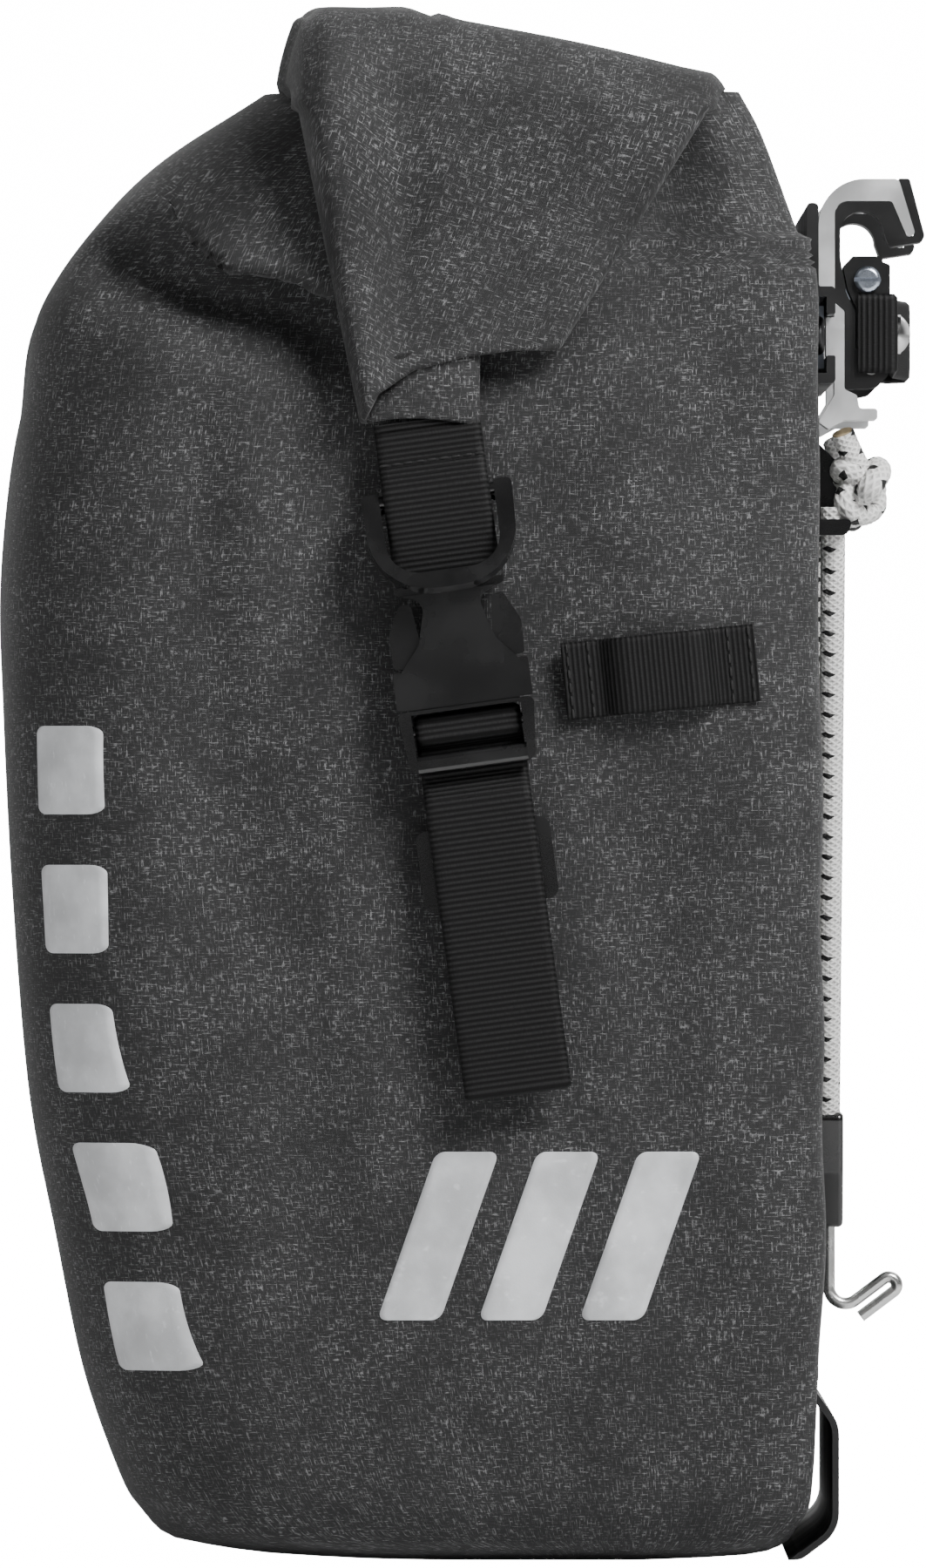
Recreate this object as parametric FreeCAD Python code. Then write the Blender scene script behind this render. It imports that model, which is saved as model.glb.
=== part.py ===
"""A waterproof roll-top pannier bag, closed and buckled, standing on its base.

Frame: +Z up, +X towards the bicycle rack, Y along the bicycle, millimetres.
The origin is at the middle of the model's box, on the floor.
"Out" distances are measured from the bag's flat back, away from the bag, and "up" heights
from the middle of the rack tube. "Near" parts are on the -Y side, "far" parts mirror them.
"""

import math
import os

import FreeCAD
import Part

V = FreeCAD.Vector

# ---- driving dimensions: the bag ----
bag_depth = 192.0
bag_width = 250.0
shoulder_z = 305.0  # where the back starts to lean forward
top_z = 350.0  # top of the shell, under the roll
cloth = 1.6
front_corner_r = 38.0
back_corner_r = 14.0
base_taper = 6.0
roll_top_z = 370.0
roll_front = 127.0
batten_w = 20.0
batten_t = 2.4
ear_t = 4.5
ear_gap = 1.0
stiffener_t = 2.0
stiffener_edge = 16.0

# ---- driving dimensions: the rack fittings ----
tube_z = 317.0  # height of the rack tube's axis
tube_out = 13.8  # its distance out from the bag's back
throat_r = 5.2  # the liner takes a 10 mm rack tube
hook_w = 20.0
hook_y = 65.0
hook_slide = 12.0
liner_lip = 15.0  # the lip's outer face, out from the tube's axis
rail_half = 105.0
rail_flange = 3.0
rail_depth = 7.0
slot_up = -24.9
slot_half = 4.95
rail_bolt_y = 93.0
pivot_out, pivot_up = 16.0, -32.5
pivot_r = 1.5
lever_face_out = 20.5
strap_w = 19.0
strap_t = 1.8
strap_up = -24.1
strap_bulge = 4.0

# ---- driving dimensions: the shock cord and the wire hook ----
cord_r = 3.0
cord_y = 66.0
cord_out = 7.0
ledge_up = -68.5
ledge_t = 3.8
turn_r = 7.0
turn_z = 92.0  # lowest point of the cord's centreline in the yoke
turn_out = 6.5
yoke_low, yoke_high = 78.0, 106.0
yoke_half = 12.5
wire_r = 1.45
wire_out = 7.0
riser_deg = 37.0

# ---- driving dimensions: the side closure ----
strap_tilt_deg = 7.8
mouth_out, mouth_z = -81.1, 204.3  # the buckle's mouth, on the side face
side_gap = 0.6
web_w = 25.4
web_t = 1.6
buckle_half = web_w / 2 + 3.5
buckle_len = 36.0
buckle_low, buckle_high = 1.2, 10.2
prong_root_a, prong_root_b = web_w / 2 - 4.1, 3.5
ring_bar_b, ring_bar_c = 49.5, 5.5
ring_bar_r = 1.9
ring_half = web_w / 2 + 5.4
ring_band = 4.4
ring_drop = 24.0
ring_lean_deg = 22.5
tail_b = -93.0

# ---- driving dimensions: the guard, the loops and the marks ----
guard_half = 112.0
guard_t = 1.6
guard_top = 50.0
guard_off = 7.0
loop_len, loop_w = 46.0, 18.4
loop_tilt_deg = 5.7
film_t = 0.4

fit = 0.3  # clearance between pieces that don't touch
running = 0.06  # radial clearance of a pin that turns

overall = bag_depth + tube_out + liner_lip
back_x = overall / 2 - tube_out - liner_lip
side_y = bag_width / 2
inner_back = -(cloth + fit)  # the stiffener's outer face, out from the back


# ---- helpers ----
def corner(a, p, b, r):
    """Start, middle and end of the arc of radius r that rounds the corner a-p-b."""
    u, w = (a - p).normalize(), (b - p).normalize()
    half = u.getAngle(w) / 2
    run = r / math.tan(half)
    centre = p + (u + w).normalize() * (r / math.sin(half))
    return p + u * run, centre + (p - centre).normalize() * r, p + w * run


def wire_of(points, closed=True):
    """A wire of straight runs through (vector, corner radius) pairs."""
    n = len(points)
    edges, last, first = [], None, None
    for i, (p, r) in enumerate(points):
        inside = closed or 0 < i < n - 1
        if r and inside:
            start, middle, end = corner(points[i - 1][0], p, points[(i + 1) % n][0], r)
            if last is not None and (start - last).Length > 1e-5:
                edges.append(Part.makeLine(last, start))
            edges.append(Part.Arc(start, middle, end).toShape())
            first = first or start
            last = end
        else:
            if last is not None:
                edges.append(Part.makeLine(last, p))
            first = first or p
            last = p
    if closed and (last - first).Length > 1e-5:
        edges.append(Part.makeLine(last, first))
    return Part.Wire(edges)


def outline(points):
    """A closed wire in the XZ plane from (out, z, radius) triples; out is from the bag's back."""
    return wire_of([(V(back_x + x, 0, z), r) for x, z, r in points])


def prism(wire, y0, y1):
    face = Part.Face(wire)
    face.translate(V(0, y0, 0))
    return face.extrude(V(0, y1 - y0, 0))


def rel(points):
    """Points given as (out, up from the tube, radius), as outline() wants them."""
    return [(x, tube_z + z, r) for x, z, r in points]


def hook_prism(points, half=hook_w / 2):
    return prism(outline(rel(points)), -hook_y - half, -hook_y + half)


def ribbon(points, t):
    """The closed outline, t thick, of a strip that follows (x, z, radius) points."""
    pts = [V(x, 0, z) for x, z, _ in points]
    radii = [r for _, _, r in points]

    def side(s):
        out = []
        for i, p in enumerate(pts):
            ahead = pts[i + 1] - p if i + 1 < len(pts) else p - pts[i - 1]
            back = p - pts[i - 1] if i else ahead
            a, b = V(back).normalize(), V(ahead).normalize()
            na, nb = V(-a.z, 0, a.x), V(-b.z, 0, b.x)
            mid = (na + nb).normalize()
            shift = mid * (s * t / 2 / mid.dot(na))
            turn = a.z * b.x - a.x * b.z  # positive where the path bends away from +n
            r = radii[i] + (s if turn > 0 else -s) * t / 2 if radii[i] else 0
            out.append((p + shift, r))
        return out

    left, right = side(1), side(-1)
    return wire_of(left + right[::-1])


def cylinder(p, axis, r, length):
    return Part.makeCylinder(r, length, p, axis)


def at_back(out, y, z):
    return V(back_x + out, y, z)


def tube(points, r, first=None):
    """A round tube through (vector, radius) points."""
    path = wire_of(points, closed=False)
    start = points[0][0]
    ahead = (points[1][0] - start).normalize()
    ring = Part.Wire(Part.makeCircle(r, start, ahead))
    return path.makePipeShell([ring], True, True), path


def mirrored(shape):
    return shape.mirror(V(0, 0, 0), V(0, 1, 0))


def one(shape):
    """The shape's solid, or a compound of its solids."""
    clean = shape.removeSplitter()
    solids = clean.Solids
    return solids[0] if len(solids) == 1 else Part.makeCompound(solids)


def save(name, *shapes):
    solids = [s for shape in shapes for s in one(shape).Solids]
    whole = solids[0] if len(solids) == 1 else Part.makeCompound(solids)
    whole.exportStep(f"parts/{name}.step")
    volume = sum(s.Volume for s in solids)
    print(f"{name}: {len(solids)} solid(s), {volume:.0f} mm3, valid {whole.isValid()}")


def save_pair(name, *shapes):
    """Saves a near piece, and its mirror image as the far one."""
    save(f"near_{name}", *shapes)
    save(f"far_{name}", *[mirrored(s) for s in shapes])


# ---- the bag ----
def side_profile():
    d = bag_depth
    return outline(
        [
            (0, 0, 8),
            (-d + 44, 0, 14),
            (-d + 22, 36, 40),
            (-d + 5.5, 114, 120),
            (-d, 190, 180),
            (-d + 0.5, 240, 50),
            (-d + 13, shoulder_z - 2, 22),
            (-roll_front - 1, top_z - 3, 8),
            (-22, top_z - 3, 10),
            (-9, shoulder_z + 29, 20),
            (0, shoulder_z, 30),
        ]
    )


def plan_profile():
    rf, rb = front_corner_r, back_corner_r
    corners = [
        (0, -side_y, rb),
        (0, side_y, rb),
        (-bag_depth, side_y, rf),
        (-bag_depth, -side_y, rf),
    ]
    return wire_of([(at_back(x, y, 0), r) for x, y, r in corners])


def front_profile():
    base = side_y - base_taper
    corners = [
        (-base, 0, 10),
        (base, 0, 10),
        (side_y, 70, 60),
        (side_y, top_z - 3, 5),
        (-side_y, top_z - 3, 5),
        (-side_y, 70, 60),
    ]
    return wire_of([(V(0, y, z), r) for y, z, r in corners])


def body(grow=0.0):
    """The bag's outer form, grown by that much, as the meeting of its three outlines."""
    reach = 3 * bag_width
    parts = []
    for wire, along in (
        (side_profile(), V(0, 1, 0)),
        (plan_profile(), V(0, 0, 1)),
        (front_profile(), V(1, 0, 0)),
    ):
        if grow:
            wire = wire.makeOffset2D(grow)
        face = Part.Face(wire)
        face.translate(along * -reach)
        parts.append(face.extrude(along * (2 * reach)))
    return parts[0].common(parts[1]).common(parts[2])


def rail_bolt_holes(r, x0, x1):
    return [
        cylinder(at_back(x0, y, tube_z + slot_up), V(1, 0, 0), r, x1 - x0)
        for y in (-rail_bolt_y, 0, rail_bolt_y)
    ]


bolt_r = 2.5
anchor_bolt_r = 2.0
guard_rivet_r = 1.6
anchor_bolt_z = tube_z - 56
anchor_bolts = [(-cord_y, anchor_bolt_z), (cord_y, anchor_bolt_z)]
guard_rivets = [(y, guard_top - 4) for y in (-95, -32, 32, 95)]
inner_face = inner_back - stiffener_t  # the stiffener's inner face


def back_holes(extra):
    """Tools for every hole through the cloth and the stiffener."""
    x0, x1 = inner_face - 1, 1
    tools = rail_bolt_holes(bolt_r + extra, x0, x1)
    for r, places in ((anchor_bolt_r, anchor_bolts), (guard_rivet_r, guard_rivets)):
        tools += [
            cylinder(at_back(x0, y, z), V(1, 0, 0), r + extra, x1 - x0)
            for y, z in places
        ]
    return tools


def make_bag():
    shell = body().cut(body(-cloth)).cut(back_holes(0.2))
    save("bag_shell", shell)

    edge = side_y - stiffener_edge
    plate = wire_of(
        [
            (at_back(inner_face, -edge, 14), 12),
            (at_back(inner_face, edge, 14), 12),
            (at_back(inner_face, edge, shoulder_z - 6), 12),
            (at_back(inner_face, -edge, shoulder_z - 6), 12),
        ]
    )
    sheet = Part.Face(plate).extrude(V(stiffener_t, 0, 0)).cut(back_holes(0.2))
    save("back_stiffener", sheet)


def make_roll():
    low = top_z - 3 + fit
    half = side_y + ear_gap + ear_t
    roll = prism(
        outline(
            [
                (-roll_front, low, 2),
                (-roll_front, roll_top_z - 5, 7),
                (-roll_front + 12, roll_top_z, 8),
                (-roll_front + 33, roll_top_z, 8),
                (-20, top_z + 3, 1),
                (-20, low, 1),
            ]
        ),
        -half,
        half,
    )
    batten_z = (low + roll_top_z) / 2
    batten_half = half - 8

    def strip(grow):
        x0 = -roll_front + 7 - grow
        box = Part.makeBox(
            batten_w + 2 * grow,
            2 * (batten_half + grow),
            batten_t + 2 * grow,
            at_back(x0, -batten_half - grow, batten_z - batten_t / 2 - grow),
        )
        return box

    save("rolled_mouth", roll.cut(strip(0.1)))
    save("closure_batten", strip(0))

    y0 = -side_y - ear_gap - ear_t
    low_ear = 269.3
    ear = prism(
        outline(
            [
                (-roll_front + 5, top_z - 3, 2),
                (-20, top_z - 3, 3),
                (-58.4, 288, 2),
                (-79.5, 286.4, 0),
                (-77.5, low_ear, 1),
                (-105.8, low_ear, 1),
            ]
        ),
        y0,
        y0 + ear_t,
    )
    save_pair("mouth_ear", ear.cut(ear_webbing_room()))


# ---- the rail and what bolts it on ----
def make_rail():
    top, low = slot_up + 11.5, slot_up - 11.5
    wall = 2.4
    lip = rail_depth - 2.1
    g = 0.2
    section = rel(
        [
            (g, 6.5, 1),
            (rail_flange, 6.5, 1.2),
            (rail_flange, top, 0.5),
            (rail_depth, top, 1),
            (rail_depth, slot_up + slot_half, 0.4),
            (lip, slot_up + slot_half, 0.4),
            (lip, top - wall, 0),
            (2.0, top - wall, 0),
            (2.0, low + wall, 0),
            (lip, low + wall, 0),
            (lip, slot_up - slot_half, 0.4),
            (rail_depth, slot_up - slot_half, 0.4),
            (rail_depth, low, 1),
            (rail_flange, low, 0.5),
            (rail_flange, -48, 1.2),
            (g, -48, 1),
        ]
    )
    rail = prism(outline(section), -rail_half, rail_half)
    save("mounting_rail", rail.cut(rail_bolt_holes(bolt_r + 0.2, -1, 3)))

    washer_t, nut_t = 1.2, 4.0
    bolts, nuts = [], []
    for y in (-rail_bolt_y, 0, rail_bolt_y):
        z = tube_z + slot_up
        head = cylinder(at_back(2.0, y, z), V(1, 0, 0), 4.7, 2.6)
        head = head.makeFillet(1.6, [e for e in head.Edges if e.Vertexes[0].X > back_x + 4])
        socket = hexagon(3.0, at_back(3.3, y, z), 2)
        shank_from = inner_face - washer_t - nut_t - 1
        shank = cylinder(at_back(shank_from, y, z), V(1, 0, 0), bolt_r, 2.0 - shank_from)
        bolts.append(head.fuse(shank).cut(socket))
        washer = cylinder(at_back(inner_face - washer_t, y, z), V(1, 0, 0), 7, washer_t)
        nut = hexagon(8.0, at_back(inner_face - washer_t - nut_t, y, z), nut_t)
        hole = cylinder(at_back(-20, y, z), V(1, 0, 0), bolt_r + 0.02, 30)
        nuts += [washer.cut(hole), nut.cut(hole)]
    save("rail_bolts", *bolts)
    save("rail_nuts_and_washers", *nuts)


def hexagon(across, start, length):
    """A hexagonal bar along +X from start."""
    r = across / math.sqrt(3)
    ring = [
        start + V(0, r * math.cos(math.radians(60 * k)), r * math.sin(math.radians(60 * k)))
        for k in range(6)
    ]
    return Part.Face(Part.makePolygon(ring + ring[:1])).extrude(V(length, 0, 0))


# ---- one rack hook with its lever ----
def hook_outline():
    t = tube_out
    lip = t + liner_lip
    return [
        (rail_flange + 0.4, -45.2, 0.6),
        (7.2, -38.8, 1),
        (7.2, slot_up - slot_half + 0.25, 0),
        (5.2, slot_up - slot_half + 0.25, 0.4),
        (5.2, slot_up + slot_half - 0.25, 0.4),
        (7.2, slot_up + slot_half - 0.25, 0),
        (7.2, -12.9, 0.6),
        (rail_flange + 0.5, -12.9, 0.8),
        (rail_flange + 0.4, 12.9, 11),
        (lip - 6.2, 12.9, 1.5),
        (lip - 2.2, -0.4, 1.0),
        (lip - 4.2, -1.0, 0.8),
        (t + 7.2, 7.6, 1.2),
        (t - 6.5, 7.6, 3.2),
        (t - 6.5, -16.7, 1),
        (9.6, -18.7, 1),
        (9.6, -37.4, 1),
        (12.6, -38.8, 0.8),
        (13.2, -42.0, 0.8),
        (17.5, -42.0, 0.8),
        (17.5, -44.8, 0.8),
        (9.6, -44.8, 1),
        (5.8, -46.9, 0.5),
    ]


def liner_profile():
    """The plastic liner's section: a strip down the leg, an arch over the tube and a lip."""
    t, r = tube_out, throat_r
    lip = t + liner_lip
    pts = [
        (9.7, -37.3, 0.3),
        (9.7, -18.5, 1),
        (t - 6.4, -16.5, 1),
        (t - 6.4, 7.5, 3.1),
        (t + 7.14, 7.5, 1.1),
        (lip - 4.27, -1.15, 0.9),
        (lip - 2.05, -0.5, 1.1),
        (lip - 6.1, 13.0, 0),
        (lip - 3.6, 13.0, 0.8),
        (lip, -0.7, 1.2),
        (lip - 0.7, -2.2, 0.8),
        (t + r + 1.3, -3.4, 1.2),
        (t + r, 0, 0),
    ]
    down = [
        (t - r, 0, 0),
        (t - r, -6.0, 2),
        (t - 3.9, -14.0, 2),
        (12.0, -18.6, 1),
        (12.0, -37.3, 0.6),
    ]

    def placed(items):
        return [(at_back(x, 0, tube_z + z), q) for x, z, q in items]

    first, last = wire_of(placed(pts), closed=False), wire_of(placed(down), closed=False)
    arch = Part.Arc(
        at_back(t + r, 0, tube_z), at_back(t, 0, tube_z + r), at_back(t - r, 0, tube_z)
    ).toShape()
    close = Part.makeLine(placed(down)[-1][0], placed(pts)[0][0])
    return Part.Wire(Part.__sortEdges__([*first.Edges, arch, *last.Edges, close]))


def pivot(length, r, half):
    """A cylinder along Y on the lever's axis, centred on the hook."""
    p = at_back(pivot_out, -hook_y - half, tube_z + pivot_up)
    return cylinder(p, V(0, 1, 0), r, length)


clamp_z = slot_up
lever_screw = (15.1, -11.2)
rivet_shank_r = 1.6


def make_hook():
    half = hook_w / 2
    y = -hook_y
    clamp_bore = cylinder(at_back(0, y, tube_z + clamp_z), V(1, 0, 0), 2.2, 20)
    save_pair("rack_hook", hook_prism(hook_outline()).cut(clamp_bore))

    ear_w = 2.5
    liner = prism(liner_profile(), y - half, y + half)
    ear_outline = [
        (10.2, -27.7, 0.5),
        (17.6, -27.7, 2.2),
        (20.3, -30.6, 2.4),
        (20.2, -34.0, 2.2),
        (17.5, -36.8, 2),
        (15.0, -37.3, 1),
        (10.2, -37.3, 0.5),
    ]
    ear = hook_prism(ear_outline)
    between_shape = [(12.0, -20, 0), (26, -20, 0), (26, -40, 0), (12.0, -40, 0)]
    between = hook_prism(between_shape, half - ear_w)
    liner = liner.fuse(ear.cut(between))
    head_room = cylinder(at_back(9.0, y, tube_z + clamp_z), V(1, 0, 0), 4.1, 4)
    save_pair("hook_liner", liner.cut(head_room).cut(pivot(hook_w + 2, pivot_r, half + 1)))
    save_pair("lever_pin", pivot(hook_w, pivot_r, half))

    # The lever: a full-width block over a neck that turns between the liner's ears.
    face = lever_face_out
    block = hook_prism(
        [
            (9.3, -8.0, 0.5),
            (11.6, -throat_r - 0.4, 0.5),
            (18.6, -throat_r - 0.4, 0.8),
            (18.8, -7.0, 0.3),
            (face, -7.6, 0.8),
            (face, -27.3, 0.5),
            (12.5, -27.3, 0.5),
            (12.5, -18.2, 1),
            (10.4, -13.6, 1),
        ]
    )
    neck_half = half - ear_w - fit
    neck = hook_prism(
        [
            (12.6, -26.5, 0),
            (face, -26.5, 0),
            (face, -31.0, 1.5),
            (pivot_out + 2.6, -34.2, 1),
            (pivot_out, -36.0, 1.4),
            (pivot_out - 2.6, -34.2, 1),
            (12.6, -32.0, 0.8),
        ],
        neck_half,
    )
    sx, sz = lever_screw
    screw_at = at_back(sx, y - half - 1, tube_z + sz)
    lever = block.fuse(neck)
    lever = lever.cut(pivot(hook_w, pivot_r + running, half))
    lever = lever.cut(cylinder(screw_at, V(0, 1, 0), 2.1, hook_w + 2))
    rivet_bore = cylinder(at_back(14, y, tube_z + strap_up), V(1, 0, 0), rivet_shank_r + 0.1, 10)
    lever = lever.cut(rivet_bore)
    save_pair("cam_lever", lever)

    head = cylinder(at_back(sx, y - half - 2.2, tube_z + sz), V(0, 1, 0), 3.2, 2.2)
    head = head.makeFillet(1.2, [e for e in head.Edges if e.Vertexes[0].Y < y - half - 2])
    shank = cylinder(at_back(sx, y - half, tube_z + sz), V(0, 1, 0), 2.0, hook_w + 3.2)
    slot = Part.makeBox(7, 1.2, 0.9, at_back(sx - 3.5, y - half - 2.3, tube_z + sz - 0.45))
    nut = cylinder(at_back(sx, y + half, tube_z + sz), V(0, 1, 0), 3.2, 2.6)
    nut = nut.cut(cylinder(at_back(sx, y + half - 1, tube_z + sz), V(0, 1, 0), 2.03, 6))
    save_pair("lever_screw", head.fuse(shank).cut(slot), nut)

    # The clamp: a screw through the hook's boss into a nut that slides in the rail.
    z = tube_z + clamp_z
    nut_block = Part.makeBox(2.6, 12, 15, at_back(2.15, y - 6, z - 7.5))
    save_pair("clamp_nut", nut_block.cut(cylinder(at_back(0, y, z), V(1, 0, 0), 2.03, 9)))
    screw = cylinder(at_back(2.3, y, z), V(1, 0, 0), 2.0, 9.7 - 2.3)
    screw_head = cylinder(at_back(9.7, y, z), V(1, 0, 0), 3.7, 2.1)
    screw_head = screw_head.makeFillet(1.0, [e for e in screw_head.Edges if e.Vertexes[0].X > back_x + 11])
    save_pair("clamp_screw", screw.fuse(screw_head).cut(hexagon(2.5, at_back(10.6, y, z), 2)))

    # The dome rivet that holds the pull strap to the lever.
    z = tube_z + strap_up
    strap_face = face + 0.15 + strap_t
    base = cylinder(at_back(strap_face, y, z), V(1, 0, 0), 4.7, 0.8)
    dome_r, dome_h = 4.4, 2.3
    ball_r = (dome_r**2 + dome_h**2) / (2 * dome_h)
    ball = Part.makeSphere(ball_r, at_back(strap_face + 0.8 + dome_h - ball_r, y, z))
    keep = cylinder(at_back(strap_face + 0.8, y, z), V(1, 0, 0), dome_r + 1, dome_h + 1)
    rivet_shank = cylinder(at_back(15, y, z), V(1, 0, 0), rivet_shank_r, strap_face - 15)
    save_pair("strap_rivet", base.fuse(ball.common(keep)).fuse(rivet_shank))


def make_pull_strap():
    """One webbing handle from lever to lever, its ends folded round the levers' outer sides."""
    mid = lever_face_out + 0.15 + strap_t / 2
    outer = hook_y + hook_w / 2 + 0.2 + strap_t / 2
    bow = mid + strap_bulge
    path = [
        (12.8, -outer, 0),
        (mid, -outer, 1.4),
        (mid, -40, 30),
        (bow, -18, 40),
        (bow, 18, 40),
        (mid, 40, 30),
        (mid, outer, 1.4),
        (12.8, outer, 0),
    ]
    flat = ribbon([(back_x + x, y, r) for x, y, r in path], strap_t)
    strip = Part.Face(flat).extrude(V(0, strap_w, 0))
    # The ribbon is drawn in XZ: stand it up so that its own Z runs along Y.
    strip.rotate(V(0, 0, 0), V(1, 0, 0), -90)
    strip.translate(V(0, 0, tube_z + strap_up + strap_w / 2))
    for side in (-1, 1):
        p = at_back(10, side * hook_y, tube_z + strap_up)
        strip = strip.cut(cylinder(p, V(1, 0, 0), rivet_shank_r + 0.1, 20))
    save("pull_strap", strip)


# ---- the shock cord ----
def cord_route():
    """From the near knot down to the yoke, round it and up again, as vectors with radii."""
    top = at_back(cord_out, -cord_y, tube_z + ledge_up + 3)
    below = at_back(cord_out, -cord_y, tube_z + ledge_up - ledge_t - 1)
    drop = below - V(back_x + turn_out, 0, 0)
    lean = math.atan(cord_y / (below.z - turn_z))
    # The strand meets the turn's circle as a tangent, so the point where both strands would
    # cross is found from the turn's own radius; two passes settle the angle.
    for _ in range(6):
        cross_z = turn_z - turn_r * (1 / math.sin(lean) - 1)
        lean = math.atan(abs(drop.y) / (below.z - cross_z))
    cross = at_back(turn_out, 0, cross_z)
    first_turn = (below - top).getAngle(cross - below)
    bend = 0.45 * (top - below).Length / math.tan(first_turn / 2)
    far = [V(p.x, -p.y, p.z) for p in (below, top)]
    return [(top, 0), (below, bend), (cross, turn_r), (far[0], bend), (far[1], 0)]


def make_cord():
    route = cord_route()
    cord, path = tube(route, cord_r)
    length = path.Length
    share = cord.Volume / (math.pi * cord_r**2 * length)
    print(f"cord: {length:.1f} mm, volume share {share:.4f}, radii {[round(r, 1) for _, r in route]}")
    save("shock_cord", cord)

    # A stopper knot on each ledge, with the cord's cut end standing out of it.
    knot_r = cord_r + 4.6
    centre = at_back(knot_r + 3.8, -cord_y, tube_z + ledge_up + knot_r + 0.4)
    ball = Part.makeSphere(knot_r, centre)
    stub_dir = V(-0.45, -0.35, 1).normalize()
    stub = cylinder(centre + stub_dir * 3, stub_dir, cord_r, 7.5)
    seat = cylinder(at_back(cord_out, -cord_y, tube_z + ledge_up), V(0, 0, 1), cord_r + 0.1, 3.1)
    save_pair("cord_knot", ball.fuse(stub).cut(seat))

    # The bracket: a back plate, a ledge with the cord's hole and an inboard cheek.
    y0, y1 = -cord_y - 9, -cord_y + knot_r + 3.2
    low = ledge_up - ledge_t
    reach = cord_out + cord_r + 1.6
    plate_shape = [(0.2, -48.6, 0.5), (3.0, -48.6, 0.5), (3.0, low + 1, 0), (0.2, low + 1, 0)]
    plate = prism(outline(rel(plate_shape)), y0, y1)
    ledge_shape = [(0.2, ledge_up, 0), (reach, ledge_up, 1), (reach - 1.2, low, 2), (0.2, low, 0.6)]
    ledge = prism(outline(rel(ledge_shape)), y0, y1)
    cheek_shape = [
        (1, -49.6, 0),
        (3.2, -49.6, 1),
        (9.0, -55.5, 2),
        (9.4, -60, 4),
        (reach - 0.2, ledge_up - 1, 0),
        (1, ledge_up - 1, 0),
    ]
    cheek = prism(outline(rel(cheek_shape)), y1 - 2.8, y1)
    hole = cylinder(at_back(cord_out, -cord_y, tube_z + low - 5), V(0, 0, 1), cord_r + 0.35, 10 + ledge_t)
    bolt_hole = cylinder(at_back(-1, *anchor_bolts[0]), V(1, 0, 0), anchor_bolt_r + 0.2, 6)
    save_pair("cord_bracket", plate.fuse(ledge).fuse(cheek).cut(hole).cut(bolt_hole))

    bolts = []
    for y, z in anchor_bolts:
        head = cylinder(at_back(3.0, y, z), V(1, 0, 0), 3.6, 0.5)
        x0 = inner_face - 4.2
        shank = cylinder(at_back(x0, y, z), V(1, 0, 0), anchor_bolt_r, 3.0 - x0)
        nut = hexagon(7, at_back(inner_face - 3.2, y, z), 3.2)
        nut = nut.cut(cylinder(at_back(-20, y, z), V(1, 0, 0), anchor_bolt_r + 0.02, 30))
        bolts += [head.fuse(shank), nut]
    save("bracket_bolts", *bolts)


def make_yoke_and_wire_hook():
    z0, z1 = yoke_low, yoke_high
    depth = 2 * cord_r + 1.6
    face_out = turn_out - depth / 2
    face = wire_of(
        [
            (at_back(face_out, -5.5, z0), 2),
            (at_back(face_out, 5.5, z0), 2),
            (at_back(face_out, yoke_half, z0 + 13), 4),
            (at_back(face_out, yoke_half + 1.5, z1), 2),
            (at_back(face_out, -yoke_half - 1.5, z1), 2),
            (at_back(face_out, -yoke_half, z0 + 13), 4),
        ]
    )
    yoke = Part.Face(face).extrude(V(depth, 0, 0))
    yoke = yoke.makeFillet(1.2, [e for e in yoke.Edges if e.CenterOfMass.x > back_x + face_out + depth - 0.1])
    room, _ = tube(cord_route(), cord_r + 0.2)
    head_r, head_h = 2.4, 1.6
    head_z = z0 + 6.2
    shank_room = cylinder(at_back(wire_out, 0, z0 - 1), V(0, 0, 1), wire_r + running, 8)
    head_room = cylinder(at_back(wire_out, 0, head_z - 0.2), V(0, 0, 1), head_r + 0.25, head_h + 0.5)
    save("cord_yoke", yoke.cut(room).cut(shank_room).cut(head_room))

    a = math.radians(riser_deg)
    along, across = V(math.cos(a), 0, math.sin(a)), V(math.sin(a), 0, -math.cos(a))
    fold = 2 * 1.95
    start = at_back(wire_out, 0, head_z + 0.4)
    foot = at_back(wire_out, 0, 55.4)
    tip = foot + along * 18.6
    back = tip + across * fold
    end = back - along * 12.0
    wire, _ = tube([(start, 0), (foot, 4.0), (tip, fold / 2), (back, fold / 2), (end, 0)], wire_r)
    head = cylinder(at_back(wire_out, 0, head_z), V(0, 0, 1), head_r, head_h)
    save("lower_wire_hook", wire.fuse(head))


# ---- the guard at the bottom of the back ----
def make_guard():
    off = guard_off
    path = [
        (1.1, guard_top, 0),
        (1.1, guard_top - 9, 4),
        (off, guard_top - 17, 8),
        (off, 8, 8),
        (-1.5, 1.6, 4),
        (-7, 1.5, 0),
    ]
    strip = ribbon([(back_x + x, z, r) for x, z, r in path], guard_t)
    guard = prism(strip, -guard_half, guard_half)
    guard = guard.cut(body(0.15))
    holes = [
        cylinder(at_back(-1, y, z), V(1, 0, 0), guard_rivet_r + 0.1, 5) for y, z in guard_rivets
    ]
    save("lower_guard", guard.cut(holes))

    rivets = []
    for y, z in guard_rivets:
        face = 1.1 + guard_t / 2
        head = cylinder(at_back(face, y, z), V(1, 0, 0), 3.4, 1.2)
        head = head.makeFillet(0.9, [e for e in head.Edges if e.Vertexes[0].X > back_x + face + 1])
        shank_from = inner_face - 1.5
        shank = cylinder(at_back(shank_from, y, z), V(1, 0, 0), guard_rivet_r, face - shank_from)
        cap = cylinder(at_back(inner_face - 1.5, y, z), V(1, 0, 0), 4.0, 1.5)
        rivets.append(head.fuse(shank).fuse(cap))
    save("guard_rivets", *rivets)


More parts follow.
